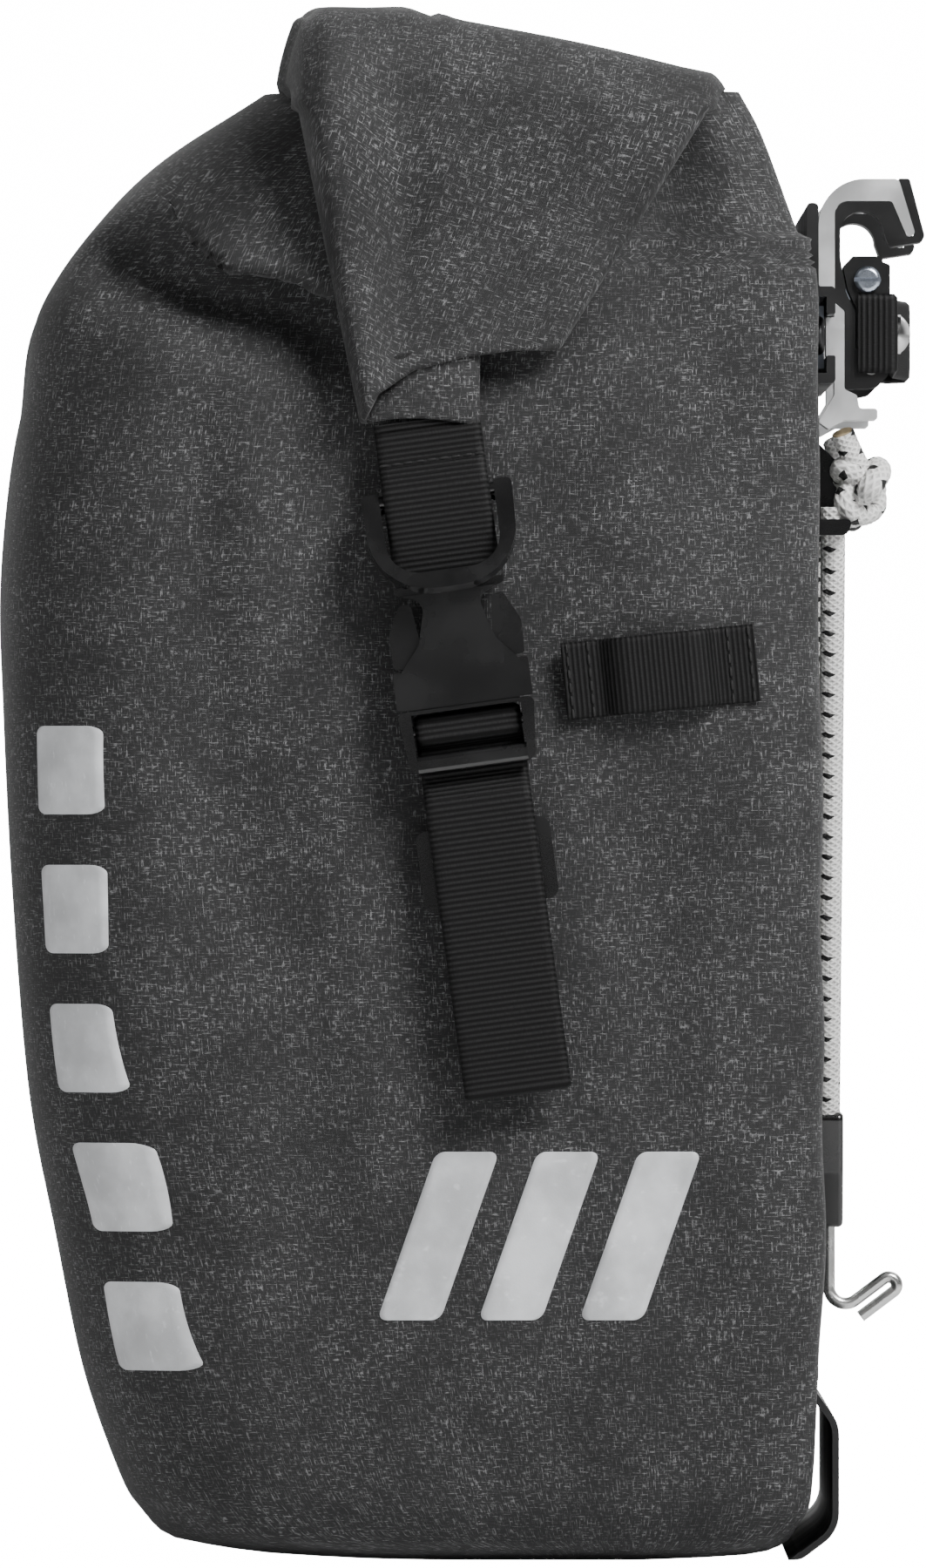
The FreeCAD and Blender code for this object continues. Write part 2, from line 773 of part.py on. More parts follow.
# ---- the side closure, drawn upright as (across, up, out from the side) and then placed ----
def flat_shape(points, c0, c1):
    """A prism of an (a, b, radius) outline between two heights above the side face."""
    wire = wire_of([(V(a, 0, b), r) for a, b, r in points])
    face = Part.Face(wire)
    face.translate(V(0, -c0, 0))
    return face.extrude(V(0, c0 - c1, 0))


def slab(half, b0, b1, c0, c1, r=0.0):
    """A flat block of the given half width, centred across."""
    return flat_shape([(-half, b0, r), (half, b0, r), (half, b1, r), (-half, b1, r)], c0, c1)


def webbing(points, width, t=web_t):
    """A webbing strip that follows (out, up, radius) points, centred across."""
    strip = Part.Face(ribbon(points, t)).extrude(V(0, width, 0))
    # Drawn in XZ with X as "out": turn it so that X becomes -Y, and its width lies across.
    strip.rotate(V(0, 0, 0), V(0, 0, 1), -90)
    strip.translate(V(-width / 2, 0, 0))
    return strip


def rod(a0, a1, b, c, r):
    return cylinder(V(a0, -c, b), V(1, 0, 0), r, a1 - a0)


def placed(shape, a=mouth_out, z=mouth_z, tilt=strap_tilt_deg):
    shape = shape.copy()
    shape.rotate(V(0, 0, 0), V(0, 1, 0), -tilt)
    shape.translate(at_back(a, -side_y - side_gap, z))
    return shape


def ear_webbing_path(t):
    return [
        (3.2, 68.0, 0),
        (3.2, 60.0, 6),
        (2.8, 53.0, 8),
        (2.8, buckle_len - 5.4, 1.9),
        (7.9, buckle_len - 5.4, 1.9),
        (8.3, 46.0, 12),
        (8.3, 52.5, 5),
        (3.2 + t + 0.05, 59.8, 4),
        (3.2 + t + 0.05, 65.5, 0),
    ]


def ear_webbing_room():
    """Room in the mouth's ear for the webbing that is sewn into it."""
    return placed(slab(web_w / 2 + fit, 62, 69, 2.2, 5.9))


def make_socket():
    h = buckle_half
    inner = web_w / 2 + 0.2
    waist = [
        (-h, 0, 1.2),
        (h, 0, 1.2),
        (h, 6.5, 4),
        (prong_root_a + 0.4, 15.0, 6),
        (prong_root_a - 2.2, 25.0, 3),
        (inner + 0.3, 27.5, 1.5),
        (inner + 0.3, buckle_len, 2),
        (-inner - 0.3, buckle_len, 2),
        (-inner - 0.3, 27.5, 1.5),
        (-prong_root_a + 2.2, 25.0, 3),
        (-prong_root_a - 0.4, 15.0, 6),
        (-h, 6.5, 4),
    ]
    c0, c1 = buckle_low, buckle_high
    shell = flat_shape(waist, c0, c1)
    top_cut = [slab(h + 4, 27, 40, a, b) for a, b in ((0, 3.8), (6.9, 12))]
    wall = h - 2.7
    side_walls = []
    for s in (-1, 1):
        corners = [(s * wall, 0, 0), (s * h, 0, 0), (s * h, 9.2, 0.6), (s * wall, 9.2, 0.6)]
        side_walls.append(flat_shape(corners, c0 + 0.6, c1 - 0.6))
    mouth = inner + 0.5
    pocket = flat_shape([(-mouth, -1, 0), (mouth, -1, 0), (mouth, 26.6, 1), (-mouth, 26.6, 1)], 3.0, 8.4)
    window = slab(inner, 29.0, 32.2, 0, 12, 0.6)
    ends = []
    for s in (-1, 1):
        a0, a1 = s * inner, s * (inner + 0.3)
        ends.append(flat_shape([(a0, 28, 0), (a1, 28, 0), (a1, 35, 0), (a0, 35, 0)], 2.6, 8.4))
    shell = shell.cut(top_cut).fuse(side_walls).cut(pocket).cut(window)
    return shell.fuse(ends)


def make_prong():
    """The latch arm on the +across side."""
    a, b = prong_root_a, prong_root_b
    arm = flat_shape(
        [
            (a - 1.3, b, 0),
            (a - 1.1, b + 4, 2),
            (a - 0.2, 14, 6),
            (a + 1.0, 24.5, 1.2),
            (a + 3.6, 25.4, 1.4),
            (buckle_half - 0.3, 18.0, 4),
            (buckle_half - 0.6, 10.0, 0.8),
            (a + 3.0, 9.7, 1.0),
            (a + 1.7, b, 0),
        ],
        3.2,
        8.2,
    )
    return arm.fuse(cylinder(V(a, -3.2, b), V(0, -1, 0), 2.0, 5.0))


def long_edges(bar):
    """The edges of a bar that run across the webbing."""
    return [e for e in bar.Edges if abs(e.tangentAt(e.FirstParameter).x) > 0.9]


def make_plug():
    h = buckle_half + 0.2
    c0, c1 = 1.0, 10.4
    frame = flat_shape([(-h, -0.3, 1.5), (h, -0.3, 1.5), (h - 1.6, -15.6, 3), (-h + 1.6, -15.6, 3)], c0, c1)
    inner = web_w / 2 + 0.4
    bar_half = inner + 0.5
    frame = frame.cut(slab(inner, -1.1, -17, 0, 12))
    upper_bar = Part.makeBox(2 * bar_half, 3.0, 2.6, V(-bar_half, -6.4, -6.5))
    upper_bar = upper_bar.makeFillet(1.0, long_edges(upper_bar))
    lower_bar = Part.makeBox(2 * bar_half, 4.0, 4.4, V(-bar_half, -9.8, -15.4))
    lower_bar = lower_bar.makeFillet(1.2, long_edges(lower_bar))
    core = flat_shape([(-inner, -1.2, 0), (inner, -1.2, 0), (inner, 3.9, 1), (-inner, 3.9, 1)], 3.2, 8.2)
    guide = flat_shape([(-2.0, 3, 0), (2.0, 3, 0), (1.6, 23, 1.4), (-1.6, 23, 1.4)], 3.2, 8.2)
    plug = frame.fuse([upper_bar, lower_bar, core, guide])
    for s in (-1, 1):
        seat = cylinder(V(s * prong_root_a, 0, prong_root_b), V(0, -1, 0), 2.0 + running, 12)
        a0, a1 = s * (prong_root_a - 1.7), s * (prong_root_a + 1.9)
        room = flat_shape([(a0, 3.5, 0), (a1, 3.5, 0), (a1, 9, 0), (a0, 9, 0)], 3.0, 8.4)
        plug = plug.cut(seat.common(slab(h, 0, 9, 3.0, 8.4))).cut(room)
    return plug


def d_ring():
    """Drawn flat round its straight bar at the origin, arch down, then leaned out."""
    h, w, drop = ring_half, ring_band, ring_drop
    corners = [(-h, 1.9, 1.5), (h, 1.9, 1.5), (h - 1, -drop, 15), (-h + 1, -drop, 15)]
    outer = wire_of([(V(a, 0, b), r) for a, b, r in corners])
    inner = wire_of(
        [
            (V(-h + w, 0, -ring_bar_r - 0.1), 1),
            (V(h - w, 0, -ring_bar_r - 0.1), 1),
            (V(h - w - 0.2, 0, -drop + w), 8),
            (V(-h + w + 0.2, 0, -drop + w), 8),
        ]
    )
    thick = 3.4
    plate = Part.Face(outer).cut(Part.Face(inner)).extrude(V(0, thick, 0))
    plate.translate(V(0, -thick / 2, 0))
    bar_room = Part.makeBox(2 * (h - w), 6, 2 * ring_bar_r + 2, V(-h + w, -3, -ring_bar_r - 0.1))
    bar = cylinder(V(-h + 1, 0, 0), V(1, 0, 0), 1.7, 2 * h - 2)
    ring = plate.cut(bar_room).fuse(bar)
    ring.rotate(V(0, 0, 0), V(1, 0, 0), -ring_lean_deg)
    ring.translate(V(0, -ring_bar_c, ring_bar_b))
    return ring


low_ring_b = -38.6
low_ring_half, low_ring_high = web_w / 2 + 3.3, 9.8
low_ring_c = 3.6


def anchor_ring():
    h, k, band = low_ring_half, low_ring_high, 3.2
    low, high = low_ring_c - 1.3, low_ring_c + 1.3
    ring = slab(h, low_ring_b + k, low_ring_b - k, low, high, 2.5)
    return ring.cut(slab(h - band, low_ring_b + k - band, low_ring_b - k + band, 0, 9, 1))


def side_strap():
    """From its sewn end round the anchor ring, up to the plug's bars and down as the tail."""
    bar = low_ring_b + low_ring_high
    path = [
        (4.2, -19.5, 0),
        (4.2, -22.5, 3),
        (low_ring_c + 2.6, -27.0, 4),
        (low_ring_c + 2.6, bar - 5.6, 2.2),
        (low_ring_c - 2.4, bar - 5.6, 2.2),
        (low_ring_c - 2.4, -27.0, 8),
        (2.3, -21.0, 8),
        (2.3, -2.6 + 0.5, 1.6),
        (7.7, -2.6 + 0.5, 1.9),
        (7.7, -7.6, 1.2),
        (4.5, -9.3, 1.2),
        (4.5, -17.5, 3),
        (8.6, -22.5, 5),
        (8.6, tail_b, 1.3),
        (6.0, tail_b, 1.3),
        (6.0, tail_b + 21, 0),
    ]
    return webbing(path, web_w)


def ring_tab():
    low_bar = low_ring_b - low_ring_high
    path = [
        (0.9, low_bar - 20, 0),
        (0.9, low_bar - 4, 3),
        (low_ring_c - 2.35, low_bar + 1.6, 0.9),
        (low_ring_c - 2.35, low_bar + 4.6 + 0.9, 2.1),
        (low_ring_c + 2.6, low_bar + 4.6 + 0.9, 2.1),
        (low_ring_c + 2.6, low_bar - 1.0, 3),
        (2.6, low_bar - 6, 3),
        (2.6, low_bar - 18, 0),
    ]
    return webbing(path, web_w - 3.4)


def light_loop():
    half = loop_len / 2
    path = [
        (0.9, -half, 0),
        (0.9, -half + 9.5, 3),
        (5.0, -half + 13.5, 6),
        (5.0, half - 13.5, 6),
        (0.9, half - 9.5, 3),
        (0.9, half, 0),
    ]
    return webbing(path, loop_w)


def make_closure():
    save_pair("mouth_webbing", placed(webbing(ear_webbing_path(web_t), web_w)))
    save_pair("d_ring", placed(d_ring()))
    save_pair("buckle_socket", placed(make_socket()))
    save_pair("buckle_plug", placed(make_plug()))
    prong = make_prong()
    save_pair("rear_prong", placed(prong))
    save_pair("front_prong", placed(prong.mirror(V(0, 0, 0), V(1, 0, 0))))
    save_pair("side_strap", placed(side_strap()))
    save_pair("anchor_ring", placed(anchor_ring()))
    save_pair("anchor_tab", placed(ring_tab()))
    save_pair("light_loop", placed(light_loop(), a=-34.8, z=211.7, tilt=90 + loop_tilt_deg))


def make_marks():
    """Thin reflective films on the shell: slanted bars low on each side, dashes up its front."""
    film = body(film_t + 0.05).cut(body(0.05))
    bars = []
    for k in range(3):
        x, z, w, h, lean = -102 + 24 * k, 58, 15, 40, 14
        pts = [(x, z, 2), (x + w, z, 2), (x + w + lean, z + h, 2), (x + lean, z + h, 2)]
        bars.append(film.common(prism(outline(pts), -side_y - 5, -side_y + 15)))
    save_pair("side_mark", *bars)
    dashes = []
    for k in range(5):
        z = 46 + 33 * k
        box = Part.makeBox(60, 12, 21, V(back_x - bag_depth - 5, -side_y + 3, z))
        dashes.append(film.common(box))
    save_pair("edge_mark", *dashes)


def main():
    os.makedirs("parts", exist_ok=True)
    make_bag()
    make_roll()
    make_rail()
    make_hook()
    make_pull_strap()
    make_cord()
    make_yoke_and_wire_hook()
    make_guard()
    make_closure()
    make_marks()


main()
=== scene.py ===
import math
import bpy
import numpy as np
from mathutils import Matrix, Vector
from mathutils.bvhtree import BVHTree


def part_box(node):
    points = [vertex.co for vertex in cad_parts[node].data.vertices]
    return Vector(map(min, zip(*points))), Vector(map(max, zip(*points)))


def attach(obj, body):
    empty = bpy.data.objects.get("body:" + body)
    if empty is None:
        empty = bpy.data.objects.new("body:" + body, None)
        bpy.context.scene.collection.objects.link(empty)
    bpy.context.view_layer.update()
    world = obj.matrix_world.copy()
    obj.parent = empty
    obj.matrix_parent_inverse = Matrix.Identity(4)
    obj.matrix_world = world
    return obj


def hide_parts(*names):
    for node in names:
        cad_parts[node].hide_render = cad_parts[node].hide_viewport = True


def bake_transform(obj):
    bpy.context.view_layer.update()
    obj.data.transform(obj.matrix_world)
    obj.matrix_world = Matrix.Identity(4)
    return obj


# A roll-top pannier bag, buckled shut, with its rack hooks and shock cord.
# Metres. +X towards the rack, Y along the bicycle, +Z up. The near side is -Y.

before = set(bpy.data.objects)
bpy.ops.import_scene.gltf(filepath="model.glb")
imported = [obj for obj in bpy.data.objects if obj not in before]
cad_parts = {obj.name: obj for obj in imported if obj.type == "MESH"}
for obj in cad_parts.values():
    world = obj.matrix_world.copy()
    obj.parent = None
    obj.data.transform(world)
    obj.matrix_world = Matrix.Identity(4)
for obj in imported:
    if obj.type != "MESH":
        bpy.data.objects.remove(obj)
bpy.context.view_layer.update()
mm = 0.001
print("frame loaded")

# camera and light
studio = {
    "distance": 6.0,
    "aimX": 0.0, "aimZ": 0.1852,
    "yawDeg": 0.0,  # positive looks from further round the bag's front
    "viewHeight": 0.3717,  # the height in view at the bag's near side
    "nearSide": 0.126,
    "floorColor": (0.9, 0.9, 0.9),
    "floorHalf": 25.0,
    "paperGlow": 16.0,  # how bright the paper looks to the camera
    "keyPower": 20, "fillPower": 2.0, "rimPower": 12,
    "frontSky": 0.1, "backSky": 1.1,
}


def makeStudio(s):
    cam = bpy.data.objects.new("camera", bpy.data.cameras.new("camera"))
    bpy.context.collection.objects.link(cam)
    yaw = math.radians(s["yawDeg"])
    near = s["distance"] - s["nearSide"]
    cam.data.sensor_width = 36
    cam.data.lens = 36 * near / s["viewHeight"]
    cam.location = (s["aimX"] - math.sin(yaw) * s["distance"], -math.cos(yaw) * s["distance"], s["aimZ"])
    cam.rotation_euler = (math.pi / 2, 0, -yaw)
    cam.data.clip_end = 50
    bpy.context.scene.camera = cam

    # a plain pale floor
    side = np.linspace(-s["floorHalf"], s["floorHalf"], 9)
    pts = np.array([[(x, y, -0.0002) for x in side] for y in side])
    floor = gridMesh("studioFloor", pts)
    mat, nt, bsdf = newMaterial("studioPaper", s["floorColor"], 0.9)
    path = nt.nodes.new("ShaderNodeLightPath")
    glow = nt.nodes.new("ShaderNodeEmission")
    glow.inputs["Strength"].default_value = s["paperGlow"]
    both = nt.nodes.new("ShaderNodeAddShader")
    mix = nt.nodes.new("ShaderNodeMixShader")
    nt.links.new(bsdf.outputs[0], both.inputs[0])
    nt.links.new(glow.outputs[0], both.inputs[1])
    nt.links.new(path.outputs["Is Camera Ray"], mix.inputs[0])
    nt.links.new(bsdf.outputs[0], mix.inputs[1])
    nt.links.new(both.outputs[0], mix.inputs[2])
    nt.links.new(mix.outputs[0], nt.nodes["Material Output"].inputs["Surface"])
    floor.data.materials.append(mat)

    world = bpy.data.worlds.new("studio")
    world.use_nodes = True
    wt = world.node_tree
    soft = wt.nodes["Background"]
    seen = wt.nodes.new("ShaderNodeBackground")
    choose = wt.nodes.new("ShaderNodeMixShader")
    seen.inputs["Strength"].default_value = s["paperGlow"]
    for node in (soft, seen):
        node.inputs["Color"].default_value = (1, 1, 1, 1)
    # the paper behind the bag is bright, the room in front of it is dim
    parts = wt.nodes.new("ShaderNodeSeparateXYZ")
    wt.links.new(wt.nodes.new("ShaderNodeTexCoord").outputs["Generated"], parts.inputs[0])
    level = rangeNode(wt, parts.outputs[1], -0.2, 0.8, s["frontSky"], s["backSky"])
    wt.links.new(level, soft.inputs["Strength"])
    wt.links.new(wt.nodes.new("ShaderNodeLightPath").outputs["Is Camera Ray"], choose.inputs[0])
    wt.links.new(soft.outputs[0], choose.inputs[1])
    wt.links.new(seen.outputs[0], choose.inputs[2])
    wt.links.new(choose.outputs[0], wt.nodes["World Output"].inputs["Surface"])
    bpy.context.scene.world = world

    lamps = (
        ("keyLight", (0.55, -0.75, 0.95), 0.45, s["keyPower"]),
        ("fillLight", (-0.9, -0.8, 0.75), 0.22, s["fillPower"]),
        ("rimLight", (0.9, 1.7, 1.8), 1.2, s["rimPower"]),
    )
    for name, place, size, power in lamps:
        lamp = bpy.data.objects.new(name, bpy.data.lights.new(name, "AREA"))
        lamp.data.size = size
        lamp.data.energy = power
        lamp.location = place
        aim = Vector((0, 0, 0.18)) - Vector(place)
        lamp.rotation_euler = aim.to_track_quat("-Z", "Y").to_euler()
        bpy.context.collection.objects.link(lamp)


# mesh helpers
def gridMesh(name, pts, wrap=False, uv=None, smooth=True, caps=False, flip=False):
    # pts is rows x columns x 3; wrap joins the last column to the first.
    rows, cols = pts.shape[:2]
    span = cols if wrap else cols - 1
    r, c = np.meshgrid(np.arange(rows - 1), np.arange(span), indexing="ij")
    c2 = (c + 1) % cols
    quads = np.stack([r * cols + c, r * cols + c2, (r + 1) * cols + c2, (r + 1) * cols + c], axis=-1)
    quads = quads.reshape(-1, 4)
    if flip:
        quads = quads[:, ::-1]
    faces = quads.tolist()
    verts = pts.reshape(-1, 3).tolist()
    if caps:
        for row, turn in ((0, not flip), (rows - 1, flip)):
            ring = [row * cols + k for k in range(cols)]
            verts.append(pts[row].mean(axis=0).tolist())
            tip = len(verts) - 1
            for k in range(cols):
                a, b = ring[k], ring[(k + 1) % cols]
                faces.append([b, a, tip] if turn else [a, b, tip])
    mesh = bpy.data.meshes.new(name)
    mesh.from_pydata(verts, [], faces)
    if uv is not None:
        layer = mesh.uv_layers.new(name="UVMap")
        flat = uv.reshape(-1, 2)
        data = np.zeros((len(mesh.loops), 2), np.float32)
        at = np.zeros(len(mesh.loops), np.int32)
        mesh.loops.foreach_get("vertex_index", at)
        inside = at < len(flat)
        data[inside] = flat[at[inside]]
        data[~inside] = flat.mean(axis=0)
        layer.data.foreach_set("uv", data.ravel())
    if smooth:
        mesh.polygons.foreach_set("use_smooth", [True] * len(mesh.polygons))
    mesh.validate()
    obj = bpy.data.objects.new(name, mesh)
    bpy.context.collection.objects.link(obj)
    return obj


def distances(line):
    # how far along the line each of its points is
    return np.concatenate([[0], np.cumsum(np.linalg.norm(np.diff(line, axis=0), axis=1))])


def smoothCurve(points, count):
    # count evenly spaced points on a smooth curve through the given ones.
    p = np.array(points, float)
    ext = np.vstack([2 * p[0] - p[1], p, 2 * p[-1] - p[-2]])
    out = []
    for k in range(1, len(ext) - 2):
        a, b, c, d = ext[k - 1 : k + 3]
        t = np.linspace(0, 1, 24, endpoint=False)[:, None]
        out.append(0.5 * (
            2 * b + (c - a) * t + (2 * a - 5 * b + 4 * c - d) * t**2
            + (3 * b - a - 3 * c + d) * t**3
        ))
    out = np.vstack([*out, p[-1:]])
    run = distances(out)
    want = np.linspace(0, run[-1], count)
    return np.stack([np.interp(want, run, out[:, k]) for k in range(out.shape[1])], axis=-1)


def ease(x, low, high):
    t = np.clip((x - low) / (high - low), 0, 1)
    return t * t * (3 - 2 * t)


def bell(d, width):
    return np.exp(-(d / width) ** 2)


def softNoise(x, y, scale, seed, waves=9):
    # A smooth random field of about unit height whose features are scale long.
    r = np.random.default_rng(seed)
    total = np.zeros_like(x, dtype=float)
    for _ in range(waves):
        angle = r.uniform(0, math.pi)
        k = 2 * math.pi / (scale * r.uniform(0.7, 1.6))
        total += np.sin(k * (x * math.cos(angle) + y * math.sin(angle)) + r.uniform(0, 6.28))
    return total / math.sqrt(waves)


# shader helpers
def newMaterial(name, color, roughness, metallic=0.0):
    mat = bpy.data.materials.new(name)
    mat.use_nodes = True
    nt = mat.node_tree
    bsdf = nt.nodes["Principled BSDF"]
    bsdf.inputs["Base Color"].default_value = (*color, 1)
    bsdf.inputs["Roughness"].default_value = roughness
    bsdf.inputs["Metallic"].default_value = metallic
    return mat, nt, bsdf


def newGroup(name, inputs, outputs):
    group = bpy.data.node_groups.new(name, "ShaderNodeTree")
    for label, kind, value in inputs:
        socket = group.interface.new_socket(name=label, in_out="INPUT", socket_type=kind)
        if value is not None:
            socket.default_value = value
    for label, kind in outputs:
        group.interface.new_socket(name=label, in_out="OUTPUT", socket_type=kind)
    return group, group.nodes.new("NodeGroupInput"), group.nodes.new("NodeGroupOutput")


def mathNode(nt, operation, a, b=None, clamp=False):
    node = nt.nodes.new("ShaderNodeMath")
    node.operation = operation
    node.use_clamp = clamp
    for k, value in enumerate((a, b)):
        if value is None:
            continue
        if isinstance(value, (int, float)):
            node.inputs[k].default_value = value
        else:
            nt.links.new(value, node.inputs[k])
    return node.outputs[0]


def times(nt, a, b, clamp=False):
    return mathNode(nt, "MULTIPLY", a, b, clamp)


def plus(nt, a, b):
    return mathNode(nt, "ADD", a, b)


def scaled(color, factor, lift=0.0):
    return tuple(factor * c + lift for c in color)


def rangeNode(nt, value, low, high, toLow=0.0, toHigh=1.0):
    node = nt.nodes.new("ShaderNodeMapRange")
    node.interpolation_type = "SMOOTHSTEP"
    nt.links.new(value, node.inputs["Value"])
    for label, number in (("From Min", low), ("From Max", high), ("To Min", toLow), ("To Max", toHigh)):
        node.inputs[label].default_value = number
    return node.outputs["Result"]


def stretched(nt, vector, x, y, z):
    node = nt.nodes.new("ShaderNodeVectorMath")
    node.operation = "MULTIPLY"
    nt.links.new(vector, node.inputs[0])
    node.inputs[1].default_value = (x, y, z)
    return node.outputs[0]


def noiseNode(nt, vector, scale, detail=2.0, rough=0.5):
    node = nt.nodes.new("ShaderNodeTexNoise")
    node.inputs["Detail"].default_value = detail
    node.inputs["Roughness"].default_value = rough
    nt.links.new(vector, node.inputs["Vector"])
    if isinstance(scale, (int, float)):
        node.inputs["Scale"].default_value = scale
    else:
        nt.links.new(scale, node.inputs["Scale"])
    return node.outputs["Fac"]


def colorMix(nt, factor, a, b):
    node = nt.nodes.new("ShaderNodeMix")
    node.data_type = "RGBA"
    nt.links.new(factor, node.inputs[0])
    for k, value in ((6, a), (7, b)):
        if isinstance(value, tuple):
            node.inputs[k].default_value = (*value, 1)
        else:
            nt.links.new(value, node.inputs[k])
    return node.outputs[2]


def bumpFrom(nt, bsdf, height, strength, distance):
    node = nt.nodes.new("ShaderNodeBump")
    node.inputs["Strength"].default_value = strength
    node.inputs["Distance"].default_value = distance
    nt.links.new(height, node.inputs["Height"])
    nt.links.new(node.outputs["Normal"], bsdf.inputs["Normal"])


def makeThreadGroup():
    # Crossed threads with pale flecks, on a surface map measured in metres.
    group, gin, gout = newGroup(
        "heatherThreads",
        [("Vector", "NodeSocketVector", None), ("Pitch", "NodeSocketFloat", 2200.0)],
        [("Fleck", "NodeSocketFloat"), ("Mottle", "NodeSocketFloat"), ("Height", "NodeSocketFloat")],
    )
    vector = gin.outputs["Vector"]
    across = stretched(group, vector, 3300, 340, 1)
    along = stretched(group, vector, 340, 3300, 1)
    shift = stretched(group, vector, 1100, 1100, 1)
    warp = noiseNode(group, along, 1.0, 1.0)
    weft = noiseNode(group, across, 1.0, 1.0)
    speck = noiseNode(group, shift, 1.0, 2.0, 0.6)
    patch = noiseNode(group, stretched(group, vector, 55, 55, 1), 1.0, 3.0)
    both = mathNode(group, "MAXIMUM", rangeNode(group, warp, 0.54, 0.7), rangeNode(group, weft, 0.54, 0.7))
    broken = times(group, both, rangeNode(group, speck, 0.36, 0.66))
    gathered = times(group, broken, rangeNode(group, patch, 0.3, 0.68, 0.5, 1.25))
    group.links.new(gathered, gout.inputs["Fleck"])
    dark = mathNode(group, "MINIMUM", warp, weft)
    mottle = plus(group, times(group, dark, 0.6), times(group, patch, 0.4))
    group.links.new(mottle, gout.inputs["Mottle"])
    pieces = group.nodes.new("ShaderNodeSeparateXYZ")
    group.links.new(vector, pieces.inputs[0])
    turns = times(group, gin.outputs["Pitch"], 6.2832)
    waves = [mathNode(group, "SINE", times(group, pieces.outputs[k], turns)) for k in (0, 1)]
    weave = times(group, *waves)
    height = plus(group, times(group, weave, 0.5), plus(group, warp, weft))
    group.links.new(height, gout.inputs["Height"])
    return group


def makeGrainGroup():
    # Fine moulded or cast grain with slow patches, on the object's own space.
    group, gin, gout = newGroup(
        "surfaceGrain",
        [("Scale", "NodeSocketFloat", 900.0), ("Patch Scale", "NodeSocketFloat", 60.0)],
        [("Height", "NodeSocketFloat"), ("Patch", "NodeSocketFloat"), ("Scuff", "NodeSocketFloat")],
    )
    space = group.nodes.new("ShaderNodeTexCoord").outputs["Object"]
    grain = noiseNode(group, space, gin.outputs["Scale"], 3.0, 0.6)
    patch = noiseNode(group, space, gin.outputs["Patch Scale"], 4.0, 0.55)
    scratch = noiseNode(group, stretched(group, space, 260, 1900, 420), 1.0, 2.0)
    group.links.new(grain, gout.inputs["Height"])
    group.links.new(patch, gout.inputs["Patch"])
    group.links.new(rangeNode(group, scratch, 0.62, 0.78), gout.inputs["Scuff"])
    return group


threadGroup = makeThreadGroup()
grainGroup = makeGrainGroup()


def addGroup(nt, group, **values):
    node = nt.nodes.new("ShaderNodeGroup")
    node.node_tree = group
    for label, value in values.items():
        socket = node.inputs[label.replace("_", " ")]
        if isinstance(value, (int, float)):
            socket.default_value = value
        else:
            nt.links.new(value, socket)
    return node


def fabricMaterial(name, dark, pale, fleck, roughness=0.78):
    mat, nt, bsdf = newMaterial(name, dark, roughness)
    uv = nt.nodes.new("ShaderNodeTexCoord").outputs["UV"]
    threads = addGroup(nt, threadGroup, Vector=uv)
    mottle = threads.outputs["Mottle"]
    base = colorMix(nt, rangeNode(nt, mottle, 0.3, 0.62), scaled(dark, 0.62), scaled(dark, 1.22))
    color = colorMix(nt, times(nt, threads.outputs["Fleck"], fleck, clamp=True), base, pale)
    nt.links.new(color, bsdf.inputs["Base Color"])
    rough = rangeNode(nt, mottle, 0.2, 0.8, roughness - 0.12, roughness + 0.08)
    nt.links.new(rough, bsdf.inputs["Roughness"])
    bumpFrom(nt, bsdf, threads.outputs["Height"], 0.35, 0.00012)
    bsdf.inputs["Sheen Weight"].default_value = 0.08
    bsdf.inputs["Sheen Roughness"].default_value = 0.4
    bsdf.inputs["Specular IOR Level"].default_value = 0.3
    return mat


def plasticMaterial(name, color, roughness, grain=900, bump=0.12, gloss=0.0):
    mat, nt, bsdf = newMaterial(name, color, roughness)
    bsdf.inputs["Coat Weight"].default_value = gloss
    bsdf.inputs["Coat Roughness"].default_value = 0.16
    g = addGroup(nt, grainGroup, Scale=grain)
    patch = g.outputs["Patch"]
    tint = colorMix(nt, rangeNode(nt, patch, 0.3, 0.7), scaled(color, 0.82), scaled(color, 1.25))
    scuffed = colorMix(nt, times(nt, g.outputs["Scuff"], 0.2), tint, scaled(color, 2.2, 0.01))
    nt.links.new(scuffed, bsdf.inputs["Base Color"])
    rough = rangeNode(nt, patch, 0.25, 0.75, roughness - 0.07, roughness + 0.09)
    nt.links.new(rough, bsdf.inputs["Roughness"])
    bumpFrom(nt, bsdf, g.outputs["Height"], bump, 0.0002)
    return mat


def metalMaterial(name, color, roughness, grain=700, bump=0.05, scuff=0.35):
    mat, nt, bsdf = newMaterial(name, color, roughness, 1.0)
    g = addGroup(nt, grainGroup, Scale=grain, Patch_Scale=90.0)
    patch = g.outputs["Patch"]
    tint = colorMix(nt, rangeNode(nt, patch, 0.3, 0.7), scaled(color, 0.86), color)
    nt.links.new(tint, bsdf.inputs["Base Color"])
    even = rangeNode(nt, patch, 0.2, 0.8, roughness - 0.05, roughness + 0.07)
    rough = plus(nt, even, times(nt, g.outputs["Scuff"], scuff * 0.3))
    nt.links.new(rough, bsdf.inputs["Roughness"])
    bumpFrom(nt, bsdf, g.outputs["Height"], bump, 0.0002)
    return mat


